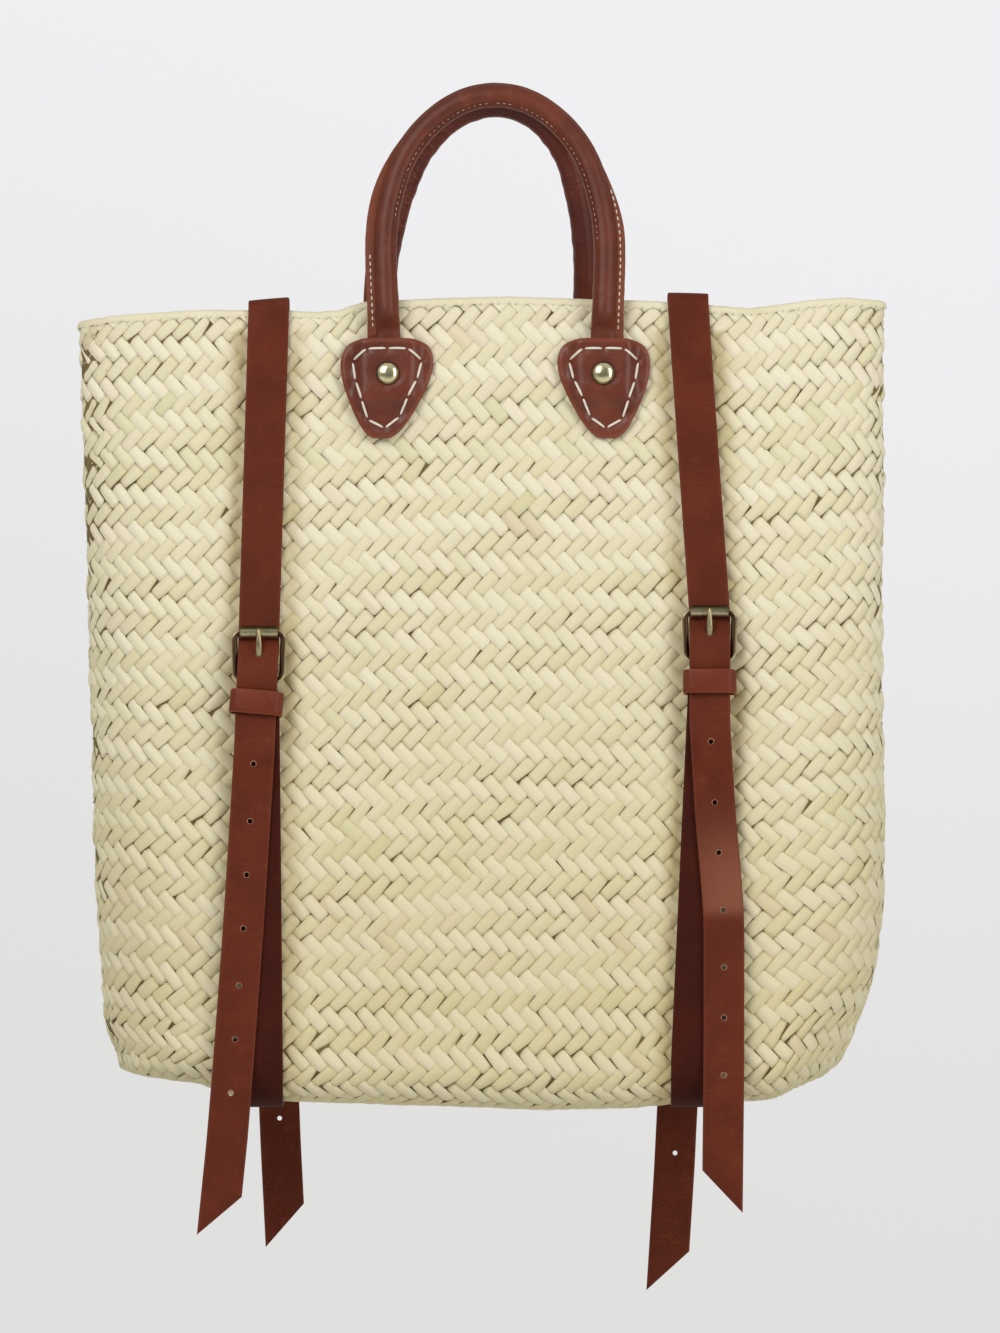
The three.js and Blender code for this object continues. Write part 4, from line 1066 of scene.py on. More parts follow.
def keeper(end, leather):
    """The leather loop that holds a tail down, as thick and soft-cornered as a real one."""
    front = TAIL_LEVEL + STRAP_THICK / 2 + KEEPER_FRONT_ROOM + KEEPER_THICK / 2
    back = GAP + KEEPER_THICK / 2
    half = STRAP_WIDTH / 2 + KEEPER_SIDE_ROOM + KEEPER_THICK / 2
    path = []
    for k, (sx, so) in enumerate(((1, 1), (-1, 1), (-1, -1), (1, -1))):
        corner = KEEPER_CORNER if so > 0 else 1.5
        centre = front - corner if so > 0 else back + corner
        for turn in np.linspace(0, 1, 6):
            angle = math.pi / 2 * (k + turn)
            x = sx * (half - corner) + corner * math.cos(angle)
            path.append((x, centre + corner * math.sin(angle), math.cos(angle), math.sin(angle)))
    section = strap_section(KEEPER_HEIGHT, 0.78, KEEPER_THICK)
    turn = math.radians(end["keeper_turn"])
    rings, marks = [], []
    for i, (x, out, ox, oo) in enumerate(path):
        ring = []
        for up, proud in section:
            sideways = x + ox * proud
            across = end["drift"] * 0.6 + sideways * math.cos(turn) + up * math.sin(turn) * side_of(end)
            along = -KEEPER_DROP + up * math.cos(turn) + sideways * math.sin(turn) * side_of(end) * -1
            ring.append(buckle_point(end, across, along, out + oo * proud))
            marks.append((i * 3, up / (KEEPER_HEIGHT / 2), proud / (KEEPER_THICK / 2)))
        rings.append(ring)
    made = swept(f"{corner_name(end)}_keeper_loop", np.array(rings), leather, closed=True)
    give(made, "hide", marks)
    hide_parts(f"{corner_name(end)}_keeper")
    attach(made, f"{corner_name(end)}_keeper")


# Handles, the tabs that hold them and their rivets
SLEEVE_RADIUS = 6
ROPE_RADIUS = 4
NECK_HALF_WIDTH = 6.3
NECK_HALF_THICK = 2
NECK_LENGTH = 11
FLANGE_DEPTH = 3.9
FLANGE_THICK = 2.2
RIM_STAND_OFF = 0.7
HINGE_Z = -109
TAB_TOP_DROP = 3
TAB_WIDTH = 46.5
TAB_HEIGHT = 50
TAB_THICK = 2.4
TAB_BUMP_HALF_WIDTH = 11.5
TAB_BUMP_FALL = 7
TONGUE_LENGTH = 29
RIVET_DROP = 17.8
RIVET_RADIUS = 5.9
RIVET_DOME = 2.4
RIVET_RIM = 0.7
ARCH_SHARES = [
    (0, 0), (0.33, 0.03), (0.66, 0.145), (0.85, 0.27), (0.955, 0.415), (1.02, 0.57), (1.02, 0.76),
    (1.002, 0.92), (1, 1),
]
FLANGE_GROWTH = 0.3
PATH_STEP = 1.6
PATH_SMOOTHINGS = 60
LEAST_FLANGE = 0.4
SEAM_ANGLE = 2.35
SEAM_STITCH_PITCH = 3
SEAM_STITCH_LENGTH = 1.8
SEAM_STITCH_RADIUS = 0.17
SEAM_DEPTH_SHARE = 0.085
TAB_SHARES = [
    (0, 0), (0.3, 0), (0.58, 0.01), (0.84, 0.055), (0.97, 0.15), (1, 0.27), (0.94, 0.42), (0.79, 0.6),
    (0.6, 0.78), (0.42, 0.91), (0.22, 0.99), (0, 1),
]
HANDLES = [
    {"name": "front", "side": -1, "left": -49.2, "right": 58.7, "apex_z": 11.2, "lean": 0, "draws": (-0.5, 0),
     "flange_starts": (0.72, 0.62), "stitch_tops": (-69, -37), "seam_ends": (-50, -66), "folds": 0.035},
    {"name": "rear", "side": 1, "left": -52, "right": 48.6, "apex_z": 6.5, "lean": 6.5, "draws": (3.5, 3.5),
     "flange_starts": (0.75, 0.62), "stitch_tops": (-50, -50), "seam_ends": (-60, -60), "folds": 0.075},
]
STITCH_PITCH = 3.5
STITCH_LENGTH = 2.25
STITCH_RADIUS = 0.34
TAB_STITCHES = 12
TAB_STITCH_INSET = 5.2
TAB_STITCH_SIDE_INSET = 1.4
TAB_STITCH_LENGTH = 9.1
TAB_SKEWS = {"left": -3.2, "right": 2.4}
TAB_STITCH_RADIUS = 0.6
TAB_MIDDLE = 0.42
TAB_RIM_FALL = 0.9
THREAD_PRESS = 0.42
THREAD_HOLE_PRESS = 0.3
PUCKERS = 12
PUCKER_DEPTH = 0.22
RIDGE_DROP = 25.5
RIDGE_RISE = 0.5
RIVET_PRESS = 0.35


def catmull(points, count):
    """A smooth curve through points, read at an even number of steps."""
    points = np.asarray(points, float)
    padded = np.concatenate([[2 * points[0] - points[1]], points, [2 * points[-1] - points[-2]]])
    at = np.linspace(0, len(points) - 1 - 1e-9, count)
    i = at.astype(int)
    t = (at - i)[:, None]
    a, b, c, d = (padded[i + k] for k in range(4))
    return 0.5 * (2 * b + (c - a) * t + (2 * a - 5 * b + 4 * c - d) * t ** 2 + (3 * b - a - 3 * c + d) * t ** 3)


def evenly(curve, step):
    lengths = runs_along(curve)
    at = np.linspace(0, lengths[-1], round(lengths[-1] / step) + 1)
    return np.stack([np.interp(at, lengths, curve[:, k]) for k in range(curve.shape[1])], axis=1)


def handle_path(handle):
    """The centre line of a handle from its left hinge to its right."""
    middle = (handle["left"] + handle["right"]) / 2
    half = (handle["right"] - handle["left"]) / 2
    drop = HINGE_Z - handle["apex_z"]
    left = [(middle - half * x, handle["apex_z"] + drop * d) for x, d in ARCH_SHARES[::-1]]
    right = [(middle + half * x, handle["apex_z"] + drop * d) for x, d in ARCH_SHARES[1:]]
    curve = evenly(catmull(left + right, 600), PATH_STEP)
    fall = np.clip((handle["apex_z"] - curve[:, 1]) / -drop, 0, 1)
    draws = np.where(curve[:, 0] < middle, *handle["draws"])
    drawn = draws * np.sin(math.pi * np.clip(fall / 0.8, 0, 1))
    curve[:, 0] += handle["lean"] * (1 - fall) ** 1.2 - drawn * np.sign(curve[:, 0] - middle)
    for _ in range(PATH_SMOOTHINGS):
        curve[1:-1] = (curve[:-2] + 2 * curve[1:-1] + curve[2:]) / 4
    return evenly(curve, PATH_STEP)


def handle_depth(handle, z):
    """How far the middle of a handle stands from the mid plane at each height."""
    face = RIM_HALF_DEPTH + (RIM_Z - z) * math.tan(TILT)
    above = eased((z - HINGE_Z) / NECK_LENGTH)
    thick = NECK_HALF_THICK + (SLEEVE_RADIUS - NECK_HALF_THICK) * above
    near = face + GAP + RIM_STAND_OFF * above + thick
    at_rim = RIM_HALF_DEPTH + GAP + RIM_STAND_OFF + SLEEVE_RADIUS
    meet = SLEEVE_RADIUS + GAP / 2
    share = np.clip((z - RIM_Z) / (handle["apex_z"] - RIM_Z), 0, 1)
    leaning = at_rim + (meet - at_rim) * share
    return np.where(z > RIM_Z, leaning, near)


def handle_section(above, flange):
    """A sleeve's section: round above, flattened at the neck, with a stitched lip on its outer side."""
    share = float(eased(above / NECK_LENGTH))
    wide = NECK_HALF_WIDTH + (SLEEVE_RADIUS - NECK_HALF_WIDTH) * share
    thick = NECK_HALF_THICK + (SLEEVE_RADIUS - NECK_HALF_THICK) * share
    lip = FLANGE_THICK / 2
    edge = wide + flange
    root = min(wide * 0.93, edge - 0.2)
    points = [(edge - 0.35, -lip), (edge, -lip * 0.4), (edge, lip * 0.4), (edge - 0.35, lip)]
    points.append((root + 0.1, lip * 0.92))
    start = 0.34
    for angle in np.linspace(start, 2 * math.pi - start, 44):
        groove = 1 - SEAM_DEPTH_SHARE * share * math.exp(-((angle - SEAM_ANGLE) / 0.11) ** 2)
        points.append((wide * groove * math.cos(angle), thick * groove * math.sin(angle)))
    points.append((root + 0.1, -lip * 0.92))
    return points


def wrinkles(seed, count):
    """Small irregular swellings along a length, the same on each run."""
    draw = np.random.default_rng(seed)
    at = np.arange(count)
    total = np.zeros(count)
    for _ in range(9):
        total = total + np.sin(at * draw.uniform(0.25, 1.5) + draw.uniform(0, 6.3)) * draw.uniform(0.4, 1)
    return total / 9


def handle_core(handle, path, depth, outward, rope):
    """The rope inside a handle, on the handle's own line, ending where the leather flattens."""
    rings = []
    for (x, z), y, (ox, oz) in zip(path, depth, outward):
        if z > HINGE_Z + NECK_LENGTH + 1:
            ring = []
            for angle in np.linspace(0, 2 * math.pi, 12, endpoint=False):
                across, out = ROPE_RADIUS * math.cos(angle), ROPE_RADIUS * math.sin(angle)
                ring.append((x + ox * across, handle["side"] * (y + out), z + oz * across))
            rings.append(ring)
    made = swept(f"{handle['name']}_handle_rope", np.array(rings), rope)
    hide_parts(f"handle_{handle['name']}_core")
    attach(made, f"handle_{handle['name']}")


def handle_sleeve(handle, leather, thread, rope):
    """A rolled handle down to its hinges, running on as flat tongues under the tabs."""
    side = handle["side"]
    path = handle_path(handle)
    x, z = path[:, 0], path[:, 1]
    depth = handle_depth(handle, z)
    along = unit(np.gradient(path, axis=0))
    outward = np.stack([-along[:, 1], along[:, 0]], axis=1)
    share = np.linspace(0, 1, len(path))
    end = np.minimum(share, 1 - share) * 2
    starts = np.where(share < 0.5, *handle["flange_starts"])
    grown = eased((starts - end) / FLANGE_GROWTH)
    above = z - HINGE_Z
    flange = np.maximum(FLANGE_DEPTH * grown, LEAST_FLANGE)
    inner_folds = wrinkles(handle["side"] + 5, len(path))
    rings, marks = [], []
    for i in range(len(path)):
        ring = []
        for across, out in handle_section(above[i], flange[i]):
            bend = max(0.0, -across / SLEEVE_RADIUS)
            swell = 1 + handle["folds"] * inner_folds[i] * (0.4 + bend)
            ring.append((x[i] + outward[i, 0] * across * swell, side * (depth[i] + out * swell),
                         z[i] + outward[i, 1] * across * swell))
            marks.append((i * PATH_STEP, across / SLEEVE_RADIUS, 1.0))
        rings.append(ring)
    rings, marks = add_tongues(handle, rings, marks)
    name = f"{handle['name']}_handle"
    made = swept(name, np.array(rings), leather)
    give(made, "hide", marks)
    tongues = [f"{handle['name']}_{leg}_handle_tongue" for leg in ("left", "right")]
    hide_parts(f"handle_{handle['name']}_sleeve", *tongues)
    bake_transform(made)
    handle_stitches(handle, path, depth, outward, flange, thread)
    handle_core(handle, path, depth, outward, rope)


def add_tongues(handle, rings, marks):
    """Flat ends below the hinge line, under the tabs."""
    around = len(rings[0])
    steps = np.array([4, 10, 16, 22, TONGUE_LENGTH - TAB_TOP_DROP - 1.5])
    low, low_marks = [], []
    for drop in steps:
        squeeze = 0.8 if drop == steps[-1] else 1.0
        for leg, first in (("left", rings[0]), ("right", rings[-1])):
            shift = np.array([0, handle["side"] * math.sin(TILT), -math.cos(TILT)]) * drop
            ring = np.array(first) + shift
            centre = ring.mean(axis=0)
            low.append((leg, drop, (ring - centre) * squeeze + centre))
        low_marks += [(-drop, 0.0, 1.0)] * around
    left = [ring for leg, _, ring in low if leg == "left"][::-1]
    right = [ring for leg, _, ring in low if leg == "right"]
    return [*left, *rings, *right], [*low_marks[::-1], *marks, *low_marks]


def capsule_rings(start, finish, radius, bulge, around=8, steps=8):
    """A stitch: a short thread that rises out of one hole and dives into the next."""
    start, finish = np.array(start, float), np.array(finish, float)
    along = unit(finish - start)
    out = unit(np.array(bulge, float))
    across = unit(np.cross(along, out))
    out = np.cross(across, along)
    rings = []
    for share in np.linspace(0, 1, steps + 1):
        end = 1 - (2 * share - 1) ** 6
        size = radius * max(end, 0.05) ** 0.5
        lift = radius * (1.1 * (1 - (2 * share - 1) ** 4) - 0.75)
        centre = start + (finish - start) * share + out * lift
        angles = np.linspace(0, 2 * math.pi, around, endpoint=False)[:, None]
        rings.append(centre + size * (np.cos(angles) * across + 0.8 * np.sin(angles) * out))
    return np.array(rings)


def stitch_row(name, stitches, thread, body):
    """Many stitches as one piece that rides on a body."""
    points, faces = [], []
    for rings in stitches:
        start = len(points)
        count, around = rings.shape[:2]
        points += rings.reshape(-1, 3).tolist()
        faces += grid_faces(count, around, start, wrap=True).tolist()
        faces += [list(range(start, start + around))[::-1]]
        faces += [list(range(start + (count - 1) * around, start + count * around))]
    mesh = bpy.data.meshes.new(name)
    mesh.from_pydata((np.array(points) * mm).tolist(), [], faces)
    mesh.materials.append(thread)
    made = shown(name, mesh, 80)
    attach(made, body)


def stitches_on(line, kept, facing, pitch, length, radius):
    """Even stitches along the kept part of a line."""
    lengths = runs_along(line)
    stitches = []
    for start in np.arange(pitch, lengths[-1] - pitch, pitch):
        near = np.searchsorted(lengths, start)
        if kept[near]:
            ends = [[np.interp(at, lengths, line[:, k]) for k in range(3)] for at in (start, start + length)]
            stitches.append(capsule_rings(*ends, radius, facing[near], 6, 6))
    return stitches


def handle_stitches(handle, path, depth, outward, flange, thread):
    """A row along the lip of each leg, and a finer one where the leather closes round its rope."""
    side = handle["side"]
    x, z = path[:, 0], path[:, 1]
    first_leg = np.arange(len(path)) < len(path) / 2

    def line_at(across, out):
        return np.stack([x + outward[:, 0] * across, side * (depth + out), z + outward[:, 1] * across], 1)

    straight_out = np.tile((0.0, side, 0.0), (len(path), 1))
    lip = line_at(SLEEVE_RADIUS + flange * 0.36, FLANGE_THICK / 2)
    kept = (z < np.where(first_leg, *handle["stitch_tops"])) & (z > HINGE_Z + 2)
    rows = stitches_on(lip, kept, straight_out, STITCH_PITCH, STITCH_LENGTH, STITCH_RADIUS)
    reach = SLEEVE_RADIUS * (1 - SEAM_DEPTH_SHARE)
    across, out = reach * math.cos(SEAM_ANGLE), reach * math.sin(SEAM_ANGLE)
    seam = line_at(across, out)
    facing = seam - line_at(0, 0)
    kept = z > np.where(first_leg, *handle["seam_ends"])
    rows += stitches_on(seam, kept, facing, SEAM_STITCH_PITCH, SEAM_STITCH_LENGTH, SEAM_STITCH_RADIUS)
    stitch_row(f"{handle['name']}_handle_stitches", rows, thread, f"handle_{handle['name']}")


def tab_lift(x, y):
    """How far a tab is lifted over the tongue beneath it."""
    end = TAB_TOP_DROP - TONGUE_LENGTH
    across = eased((TAB_BUMP_HALF_WIDTH + TAB_BUMP_FALL - np.abs(x)) / TAB_BUMP_FALL)
    down = eased((y - end + 1.5 * TAB_BUMP_FALL) / TAB_BUMP_FALL)
    return (2 * NECK_HALF_THICK + GAP) * across * down


def tab_outline(skew, count=96):
    """A tab's outline, closed and evenly spaced, from the middle of its top, with its point drawn aside."""
    half = np.array(TAB_SHARES) * (TAB_WIDTH / 2, -TAB_HEIGHT)
    whole = np.concatenate([half, (half * (-1, 1))[-2:0:-1], half[:1]])
    padded = np.concatenate([whole[-4:-1], whole, whole[1:4]])
    curve = catmull(padded, 900)
    first = np.argmin(np.linalg.norm(curve[:450] - whole[0], axis=1))
    last = 450 + np.argmin(np.linalg.norm(curve[450:] - whole[0], axis=1))
    loop = curve[first:last + 1]
    lengths = runs_along(loop)
    at = np.linspace(0, lengths[-1], count, endpoint=False)
    outline = np.stack([np.interp(at, lengths, loop[:, k]) for k in (0, 1)], axis=1)
    outline[:, 0] += skew * np.maximum(-outline[:, 1] / TAB_HEIGHT, 0) ** 1.5
    return outline


def tab_point(seat, x, y, out):
    """A point of a tab from the middle of its top edge on the face: x across, y up the face."""
    return face_point(seat["side"], seat["x"] + x, drop_of(HINGE_Z) + TAB_TOP_DROP - y, out)


def stitch_marks(skew):
    """Both ends of each stitch round a tab, in the tab's own plane."""
    outline = tab_outline(skew, 480)
    centre = np.array([skew / 4, -TAB_MIDDLE * TAB_HEIGHT])
    inward = unit(centre - outline)
    line = outline + inward * (TAB_STITCH_INSET + TAB_STITCH_SIDE_INSET * np.abs(inward[:, :1]))
    line = np.concatenate([line, line[:1]])
    lengths = runs_along(line)
    pitch = lengths[-1] / TAB_STITCHES
    marks = []
    for i in range(TAB_STITCHES):
        middle = (i + 0.5) * pitch
        pair = [np.interp(middle + s * TAB_STITCH_LENGTH / 2, lengths, line[:, k]) for s in (-1, 1) for k in (0, 1)]
        marks.append((np.array(pair[:2]), np.array(pair[2:])))
    return marks


def tab_height(x, y, rim_share, marks):
    """The outer surface of a tab above the face: lifted over the tongue, pressed down at rim and stitches."""
    lift = tab_lift(x, y)
    height = GAP + lift + TAB_THICK - TAB_RIM_FALL * eased((rim_share - 0.93) / 0.07)
    spot = np.stack(np.broadcast_arrays(x, y), axis=-1)
    for start, finish in marks:
        reach = finish - start
        part = np.clip(((spot - start) @ reach) / (reach @ reach), 0, 1)
        off = ((spot - start - part[..., None] * reach) ** 2).sum(axis=-1)
        height = height - THREAD_PRESS * np.exp(-off / 1.6)
        for hole in (start, finish):
            height = height - THREAD_HOLE_PRESS * np.exp(-((spot - hole) ** 2).sum(axis=-1) / 2.4)
    pucker = np.sin(np.arctan2(x, y + TAB_MIDDLE * TAB_HEIGHT) * PUCKERS + 1.2)
    pucker = pucker * PUCKER_DEPTH * eased((rim_share - 0.6) / 0.15) * eased((-y - 7) / 6)
    ridge = np.exp(-((y + RIDGE_DROP - 0.05 * x ** 2) / 1.5) ** 2) * eased((10 - np.abs(x)) / 3)
    sunk = RIVET_PRESS * np.exp(-((np.hypot(x, y + RIVET_DROP) - RIVET_RADIUS) / 1.6) ** 2)
    return height + pucker + RIDGE_RISE * ridge - sunk


def tab_piece(seat, leather, thread):
    """A leaf-shaped leather tab, stitched all round over the end of a handle leg."""
    outline = tab_outline(seat["skew"])
    marks = stitch_marks(seat["skew"])
    centre = np.array([seat["skew"] / 4, -TAB_MIDDLE * TAB_HEIGHT])
    shares = [1, 0.985, 0.96, 0.93, 0.9, 0.86, 0.81, 0.75, 0.68, 0.6, 0.5, 0.4, 0.3, 0.2, 0.1]
    rings, marked = [], []

    def add_ring(share, height):
        spots = centre + (outline - centre) * share
        level = height(spots[:, 0], spots[:, 1])
        rings.append([tab_point(seat, x, y, o) for (x, y), o in zip(spots, level)])
        marked.extend([(0.0, share, 1.0)] * len(outline))

    for share in (0.1, 0.5, 0.8, 1):
        add_ring(share, lambda x, y: GAP + tab_lift(x, y))
    add_ring(1.0, lambda x, y: GAP + tab_lift(x, y) + TAB_THICK * 0.45)
    for share in shares:
        add_ring(share, lambda x, y: tab_height(x, y, share, marks))
    made = swept(f"{seat['name']}_stitched_tab", np.array(rings), leather)
    give(made, "hide", marked)
    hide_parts(f"{seat['name']}_tab")
    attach(made, "basket")
    stitches = []
    out = np.array([0, seat["side"] * math.cos(TILT), math.sin(TILT)])
    for start, finish in marks:
        ends = []
        for spot in (start, finish):
            level = float(tab_height(np.array(spot[0]), np.array(spot[1]), np.array(0.75), marks)) + 0.25
            ends.append(tab_point(seat, spot[0], spot[1], level))
        rings_of = capsule_rings(ends[0], ends[1], TAB_STITCH_RADIUS, out, 10, 12)
        share = np.linspace(0, 1, rings_of.shape[0])
        spots = start + (finish - start) * share[:, None]
        levels = tab_height(spots[:, 0], spots[:, 1], np.full(len(share), 0.75), marks)
        bow = levels - levels[0] - (levels[-1] - levels[0]) * share
        rise = 0.3 * (1 - (2 * share - 1) ** 2) + np.maximum(bow, -0.1)
        stitches.append(rings_of + rise[:, None, None] * out)
    stitch_row(f"{seat['name']}_tab_stitches", stitches, thread, "basket")


def rivet(seat, metal):
    """A polished domed rivet cap with a rolled rim."""
    seat_level = GAP + float(tab_lift(0, -RIVET_DROP)) + TAB_THICK
    profile = [(0.2, 0.1), (RIVET_RADIUS * 0.7, 0.1), (RIVET_RADIUS - 0.3, 0.1), (RIVET_RADIUS, 0.35)]
    profile += [(RIVET_RADIUS, RIVET_RIM), (RIVET_RADIUS - 0.2, RIVET_RIM + 0.25)]
    for angle in np.linspace(0.12, math.pi / 2 - 0.05, 14):
        profile.append(((RIVET_RADIUS - 0.5) * math.cos(angle), RIVET_RIM + 0.25 + RIVET_DOME * math.sin(angle)))
    angles = np.linspace(0, 2 * math.pi, 48, endpoint=False)
    rings = [[tab_point(seat, r * math.cos(a), -RIVET_DROP + r * math.sin(a), seat_level + up) for a in angles]
             for r, up in profile]
    made = swept(f"{seat['name']}_rivet_dome", np.array(rings), metal)
    # Bright in the middle of the dome and darker towards its rim: partly worn metal, partly painted dark reflection.
    rubbed = [[1.08 - 0.6 * (r / RIVET_RADIUS) ** 3] * len(angles) for r, _ in profile]
    give(made, "rubbed", np.array(rubbed).ravel())
    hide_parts(f"{seat['name']}_rivet_cap")
    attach(made, "basket")


# The painted sheen on the right loop's tail, where it bends out, in metres below the handles' top and to the right
SHEEN_START = (0.335, 0.392)
SHEEN_STOP = (0.394, 0.404)
SHEEN_RIGHT = (0.08, 0.125)


def hide_leather(
    name, colour, dark, light, edge, roughness, grain=0.12, shine=0.14, creases=0.25, raw_and_lit=0, bend=0,
):
    """Vegetable-tanned leather: fine grain, cloudy tone, paler cut edges and a soft wax shine.

    raw_and_lit is how pale the middle of a cut edge is, partly the cut leather's own colour and partly painted light
    on the hole walls, and bend is how light the painted sheen on the right loop is.
    """
    r = Recipe(name)
    hide = r.own("hide", "Vector")
    length = r.part_of(hide, 0)
    across = r.part_of(hide, 1)
    facing = r.part_of(hide, 2)
    cloud = r.noise(26, 4, 0.6)
    speck = r.noise(1.6, 3, 0.6)
    pores = r.cells(0.9)
    fold = r.noise(7, 3, 0.55)
    tone = r.mixed(cloud.step(0.35, 0.7), dark, colour)
    tone = r.mixed(fold.step(0.55, 0.8) * 0.35, tone, light)
    tone = r.mixed(speck.step(0.5, 0.75) * 0.2, tone, dark)
    bands = r.node("ShaderNodeCombineXYZ", None, {0: length * 0.5, 1: across * 0.3, 2: cloud * 2})
    lines = r.node("ShaderNodeTexNoise", None, {"Vector": bands, "Scale": 1.0, "Detail": 2.0, "Roughness": 0.5})
    crease = (1 - (lines - 0.5).size().step(0.0, 0.03)) * r.noise(50, 1).step(0.52, 0.62) * creases
    tone = r.mixed(crease, tone, light)
    # Painted sheen: a lighter patch where the right loop's tail bends out, standing for light it catches there.
    if bend:
        place = r.place()
        below = 0 - r.part_of(place, 2)
        stretched = below.step(*SHEEN_START) * (1 - below.step(*SHEEN_STOP))
        stretched = stretched * r.part_of(place, 0).step(*SHEEN_RIGHT)
        tone = r.mixed(stretched * bend, tone, tinted(152, 98, 74))
    worn = across.size().step(0.86, 1.0) * facing.size().step(0.6, 1.0)
    tone = r.mixed(worn * (0.25 + speck * 0.5), tone, light)
    cut = 1 - facing.size().step(0.55, 0.95)
    tone = r.mixed(cut, tone, edge)
    # Pale middle of cut edges: partly the cut leather's own colour, partly painted light on the hole walls.
    tone = r.mixed(cut * (1 - across.size().step(0.6, 0.75)) * raw_and_lit, tone, tinted(226, 190, 164))
    height = pores * 0.5 + speck * 0.35 + fold * 0.6
    rough = roughness + speck * 0.16 + cloud * 0.06
    return r.finish(Base_Color=tone, Roughness=rough, Normal=r.relief(height, grain), Specular_IOR_Level=shine)


def sewing_thread():
    """Waxed linen thread: off-white with a fine twist."""
    r = Recipe("linen_thread")
    twist = r.node("ShaderNodeTexWave", {"bands_direction": "DIAGONAL"},
                   {"Vector": r.place(), "Scale": 700.0, "Distortion": 1.5})
    tone = r.mixed(twist * 0.4, tinted(232, 224, 208), tinted(196, 182, 156))
    return r.finish(Base_Color=tone, Roughness=0.7, Normal=r.relief(twist, 0.08))


def cast_metal(name, bright, dull, roughness, wear, rubbed=None):
    """Plated metal: fine scratches and darker patches of its own; a part's own share of wear and sheen, where given,
    sets where it is bright and dark instead, partly wear and partly painted highlight and reflection.
    """
    r = Recipe(name)
    cloud = r.noise(5, 4, 0.6)
    scratch = r.noise(1.2, 4, 0.7, r.stretched(r.place(), 0.25, 2.5, 0.25))
    tarnish_and_reflection = cloud.step(0.45, 0.75) * wear
    if rubbed:
        # Dark where the part's share of wear and sheen is low: partly worn metal, partly painted dark reflection.
        tarnish_and_reflection = 1 - r.own(rubbed).step(0.45, 0.95) * (1 - cloud.step(0.5, 0.75) * 0.5)
    tone = r.mixed(tarnish_and_reflection, bright, dull)
    rough = roughness + scratch * 0.14 + cloud * 0.08
    return r.finish(Base_Color=tone, Metallic=1.0, Roughness=rough, Normal=r.relief(scratch, 0.02))


def rope_core():
    r = Recipe("cotton_rope")
    tone = r.mixed(r.noise(1.5, 3), tinted(205, 190, 156), tinted(160, 140, 104))
    return r.finish(Base_Color=tone, Roughness=0.9)


def dress_posts(brass):
    """The rivets' posts are carried over from the frame."""
    for name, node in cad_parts.items():
        if name.endswith("rivet_post"):
            for place in node.material_slots:
                place.material = brass


# Studio: a pale sweep, soft light and the photograph's straight front view
VIEW_HEIGHT = 666.5
VIEW_CENTRE = (7, -275.75)
VIEW_DISTANCE = 12000
FACE_Y = -35
FLOOR_Z = -760
BACK_Y = 900
PAPER_REACH = 4200
PAPER_BEND = 500
LAMP_AIM = (0, 0, -280)
# name, place, size, power
LAMPS = [
    ("key_light", (-850, -1500, 850), (1000, 1100), 19),
    ("fill_light", (1300, -1250, 200), (700, 1500), 12),
    ("back_light", (400, 1600, 500), (1500, 1300), 10),
]


def backdrop():
    r = Recipe("studio_paper")
    place = r.place()
    height = r.part_of(place, 2) + r.part_of(place, 0).step(-0.35, 0.3) * 0.16
    tone = r.mixed((height + 0.52).step(0, 0.72), tinted(224, 224, 223), tinted(240, 240, 242))
    plain = r.node("ShaderNodeBsdfDiffuse", None, {"Color": tinted(228, 228, 228)})
    seen = r.node("ShaderNodeEmission", None, {"Color": tone, "Strength": 1.0})
    camera = r.node("ShaderNodeLightPath", output="Is Camera Ray")
    shader = r.node("ShaderNodeMixShader", None, {0: camera, 1: plain, 2: seen})
    behind = r.node("ShaderNodeNewGeometry", output="Backfacing")
    open_back = r.node("ShaderNodeBsdfTransparent")
    r.node_out(r.node("ShaderNodeMixShader", None, {0: behind, 1: shader, 2: open_back}))
    bend_y = BACK_Y - PAPER_BEND
    profile = [(-PAPER_REACH, FLOOR_Z), (bend_y, FLOOR_Z)]
    for angle in np.linspace(0, math.pi / 2, 12)[1:]:
        profile.append((bend_y + PAPER_BEND * math.sin(angle), FLOOR_Z + PAPER_BEND * (1 - math.cos(angle))))
    profile.append((BACK_Y, PAPER_REACH))
    points = [(x, y, z) for y, z in profile for x in (-PAPER_REACH, PAPER_REACH)]
    paper = make_mesh("paper_sweep", points, grid_faces(len(profile), 2), r.material)


def softbox(name, place, size, power):
    """A wide soft lamp that looks at the basket."""
    lamp = bpy.data.lights.new(name, "AREA")
    lamp.shape = "RECTANGLE"
    lamp.size, lamp.size_y = [s * mm for s in size]
    lamp.energy = power
    made = bpy.data.objects.new(name, lamp)
    bpy.context.scene.collection.objects.link(made)
    origin, target = np.array(place) * mm, np.array(LAMP_AIM) * mm
    made.location = origin
    made.rotation_mode = "QUATERNION"
    made.rotation_quaternion = Vector(target - origin).to_track_quat("-Z", "Y")


def light_studio():
    world = bpy.data.worlds.new("studio")
    bpy.context.scene.world = world
    r = Recipe("studio", world)
    towards = r.node("ShaderNodeTexCoord", output="Generated")
    up = r.part_of(towards, 2).step(-0.7, 0.9)
    ahead = (0 - r.part_of(towards, 1)).step(0.6, 1.0)
    strength = (0.24 + up * 0.36) * (1 - ahead * 0.5)
    glow = r.node("ShaderNodeBackground", None, {"Color": (1, 1, 1, 1), "Strength": strength})
    pale = r.node("ShaderNodeBackground", None, {"Color": tinted(232, 232, 233), "Strength": 1.0})
    camera = r.node("ShaderNodeLightPath", output="Is Camera Ray")
    r.node_out(r.node("ShaderNodeMixShader", None, {0: camera, 1: glow, 2: pale}), "ShaderNodeOutputWorld")
    for name, place, size, power in LAMPS:
        softbox(name, place, size, power)
    bpy.context.scene.view_settings.view_transform = "Standard"


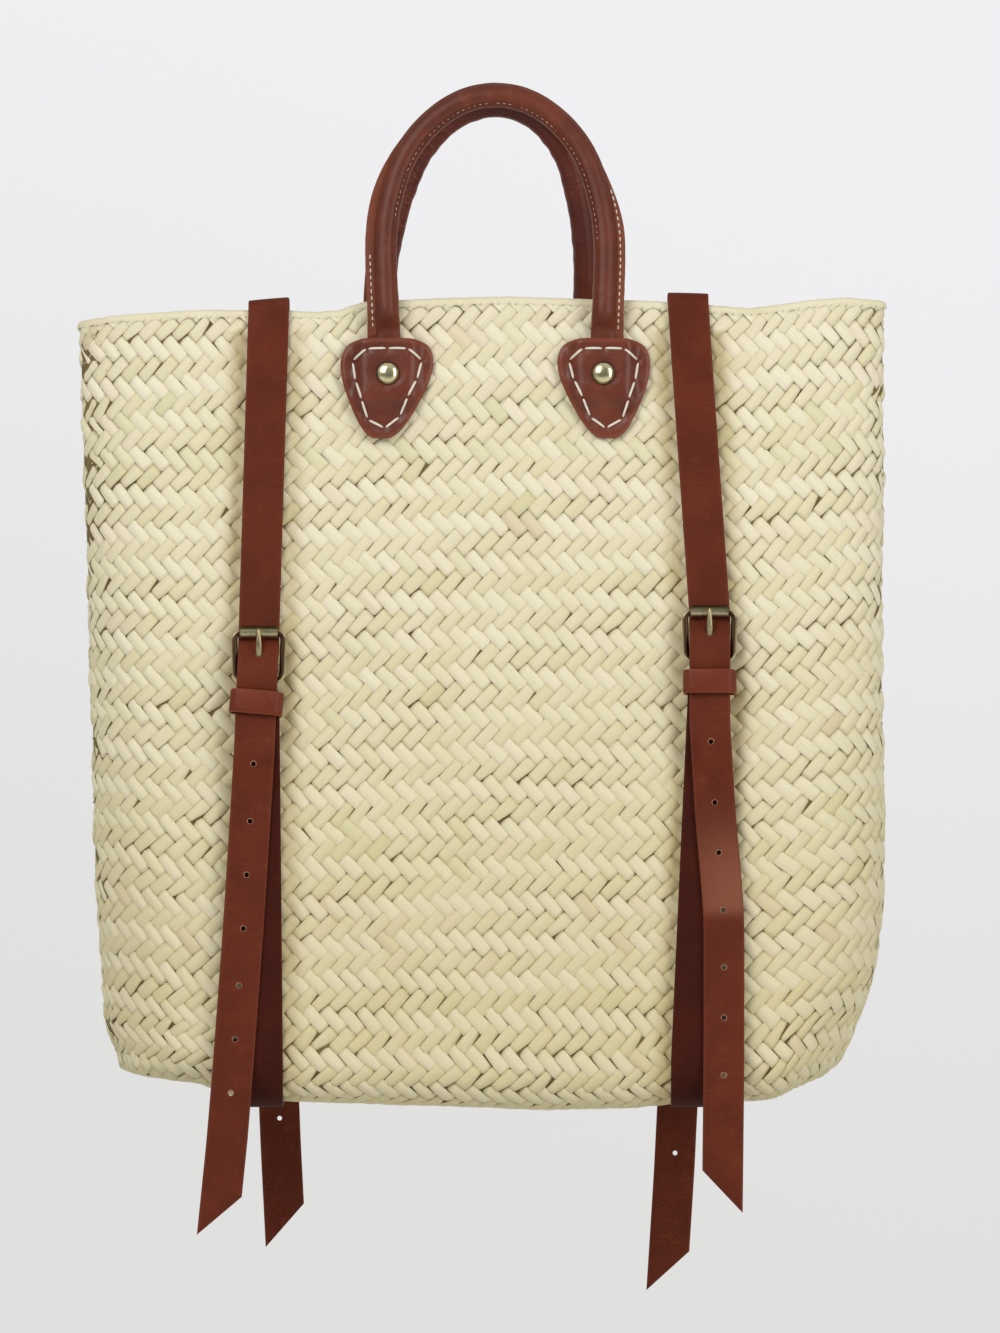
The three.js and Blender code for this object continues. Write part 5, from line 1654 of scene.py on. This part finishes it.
def place_camera():
    camera = bpy.data.cameras.new("front_view")
    camera.sensor_width = 36
    camera.lens = camera.sensor_width * VIEW_DISTANCE / VIEW_HEIGHT
    made = bpy.data.objects.new("front_view", camera)
    bpy.context.scene.collection.objects.link(made)
    made.location = (VIEW_CENTRE[0] * mm, (FACE_Y - VIEW_DISTANCE) * mm, VIEW_CENTRE[1] * mm)
    made.rotation_euler = (math.pi / 2, 0, 0)
    bpy.context.scene.camera = made


place_camera()
light_studio()
backdrop()
weave_basket()

strap_leather = hide_leather(
    "strap_leather", tinted(99, 41, 21), tinted(87, 34, 17), tinted(118, 56, 34), tinted(108, 55, 35), 0.5,
    raw_and_lit=0.9, bend=0.5,
)
# Darker than the upper straps: partly a darker leather, partly painted shade on the lower straps.
under_leather = hide_leather(
    "under_leather", tinted(66, 21, 9), tinted(56, 17, 8), tinted(78, 29, 16), tinted(76, 32, 18), 0.55, shine=0.1,
)
keeper_leather = hide_leather(
    "keeper_leather", tinted(112, 46, 23), tinted(98, 38, 18), tinted(136, 66, 40), tinted(134, 74, 50),
    0.36, 0.1, 0.22, creases=0,
)
tab_leather = hide_leather(
    "tab_leather", tinted(110, 48, 25), tinted(90, 36, 19), tinted(134, 68, 41), tinted(98, 46, 27),
    0.27, 0.11, 0.4, creases=0,
)
handle_leather = hide_leather(
    "handle_leather", tinted(106, 47, 26), tinted(88, 36, 19), tinted(132, 69, 42), tinted(104, 51, 31),
    0.34, 0.12, 0.32, creases=0.3,
)
rear_leather = hide_leather(
    "rear_leather", tinted(100, 42, 25), tinted(80, 32, 19), tinted(132, 69, 46), tinted(100, 48, 31),
    0.34, 0.2, 0.3, creases=0.9,
)
thread = sewing_thread()
rope = rope_core()
antique_brass = cast_metal("antique_brass", tinted(168, 156, 120), tinted(98, 86, 58), 0.24, 0.7)
roller_brass = cast_metal("roller_brass", tinted(176, 166, 132), tinted(84, 76, 50), 0.24, 0.7, "rubbed")
dark_brass = cast_metal("dark_brass", tinted(206, 192, 158), tinted(74, 56, 40), 0.26, 0.7, "rubbed")
bright_brass = cast_metal("bright_brass", tinted(226, 216, 172), tinted(104, 92, 54), 0.06, 0.4, "rubbed")

for end in ENDS:
    made = buckled_strap(end, strap_leather)
    replaced = [f"{corner_name(end)}_strap_tail"]
    if end["face"] == "front":
        replaced.append(f"{end['loop']['name']}_over_strap")
    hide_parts(*replaced)
    buckle_frame(end, dark_brass)
    buckle_roller(end, roller_brass)
    buckle_prong(end, antique_brass)
    keeper(end, keeper_leather)
for loop in (LEFT_LOOP, RIGHT_LOOP):
    base_strap(loop, under_leather)
for handle in HANDLES:
    handle_sleeve(handle, handle_leather if handle["side"] < 0 else rear_leather, thread, rope)
    for leg in ("left", "right"):
        seat = {"name": f"{handle['name']}_{leg}", "side": handle["side"], "x": handle[leg], "skew": TAB_SKEWS[leg]}
        tab_piece(seat, tab_leather, thread)
        rivet(seat, bright_brass)
dress_posts(bright_brass)
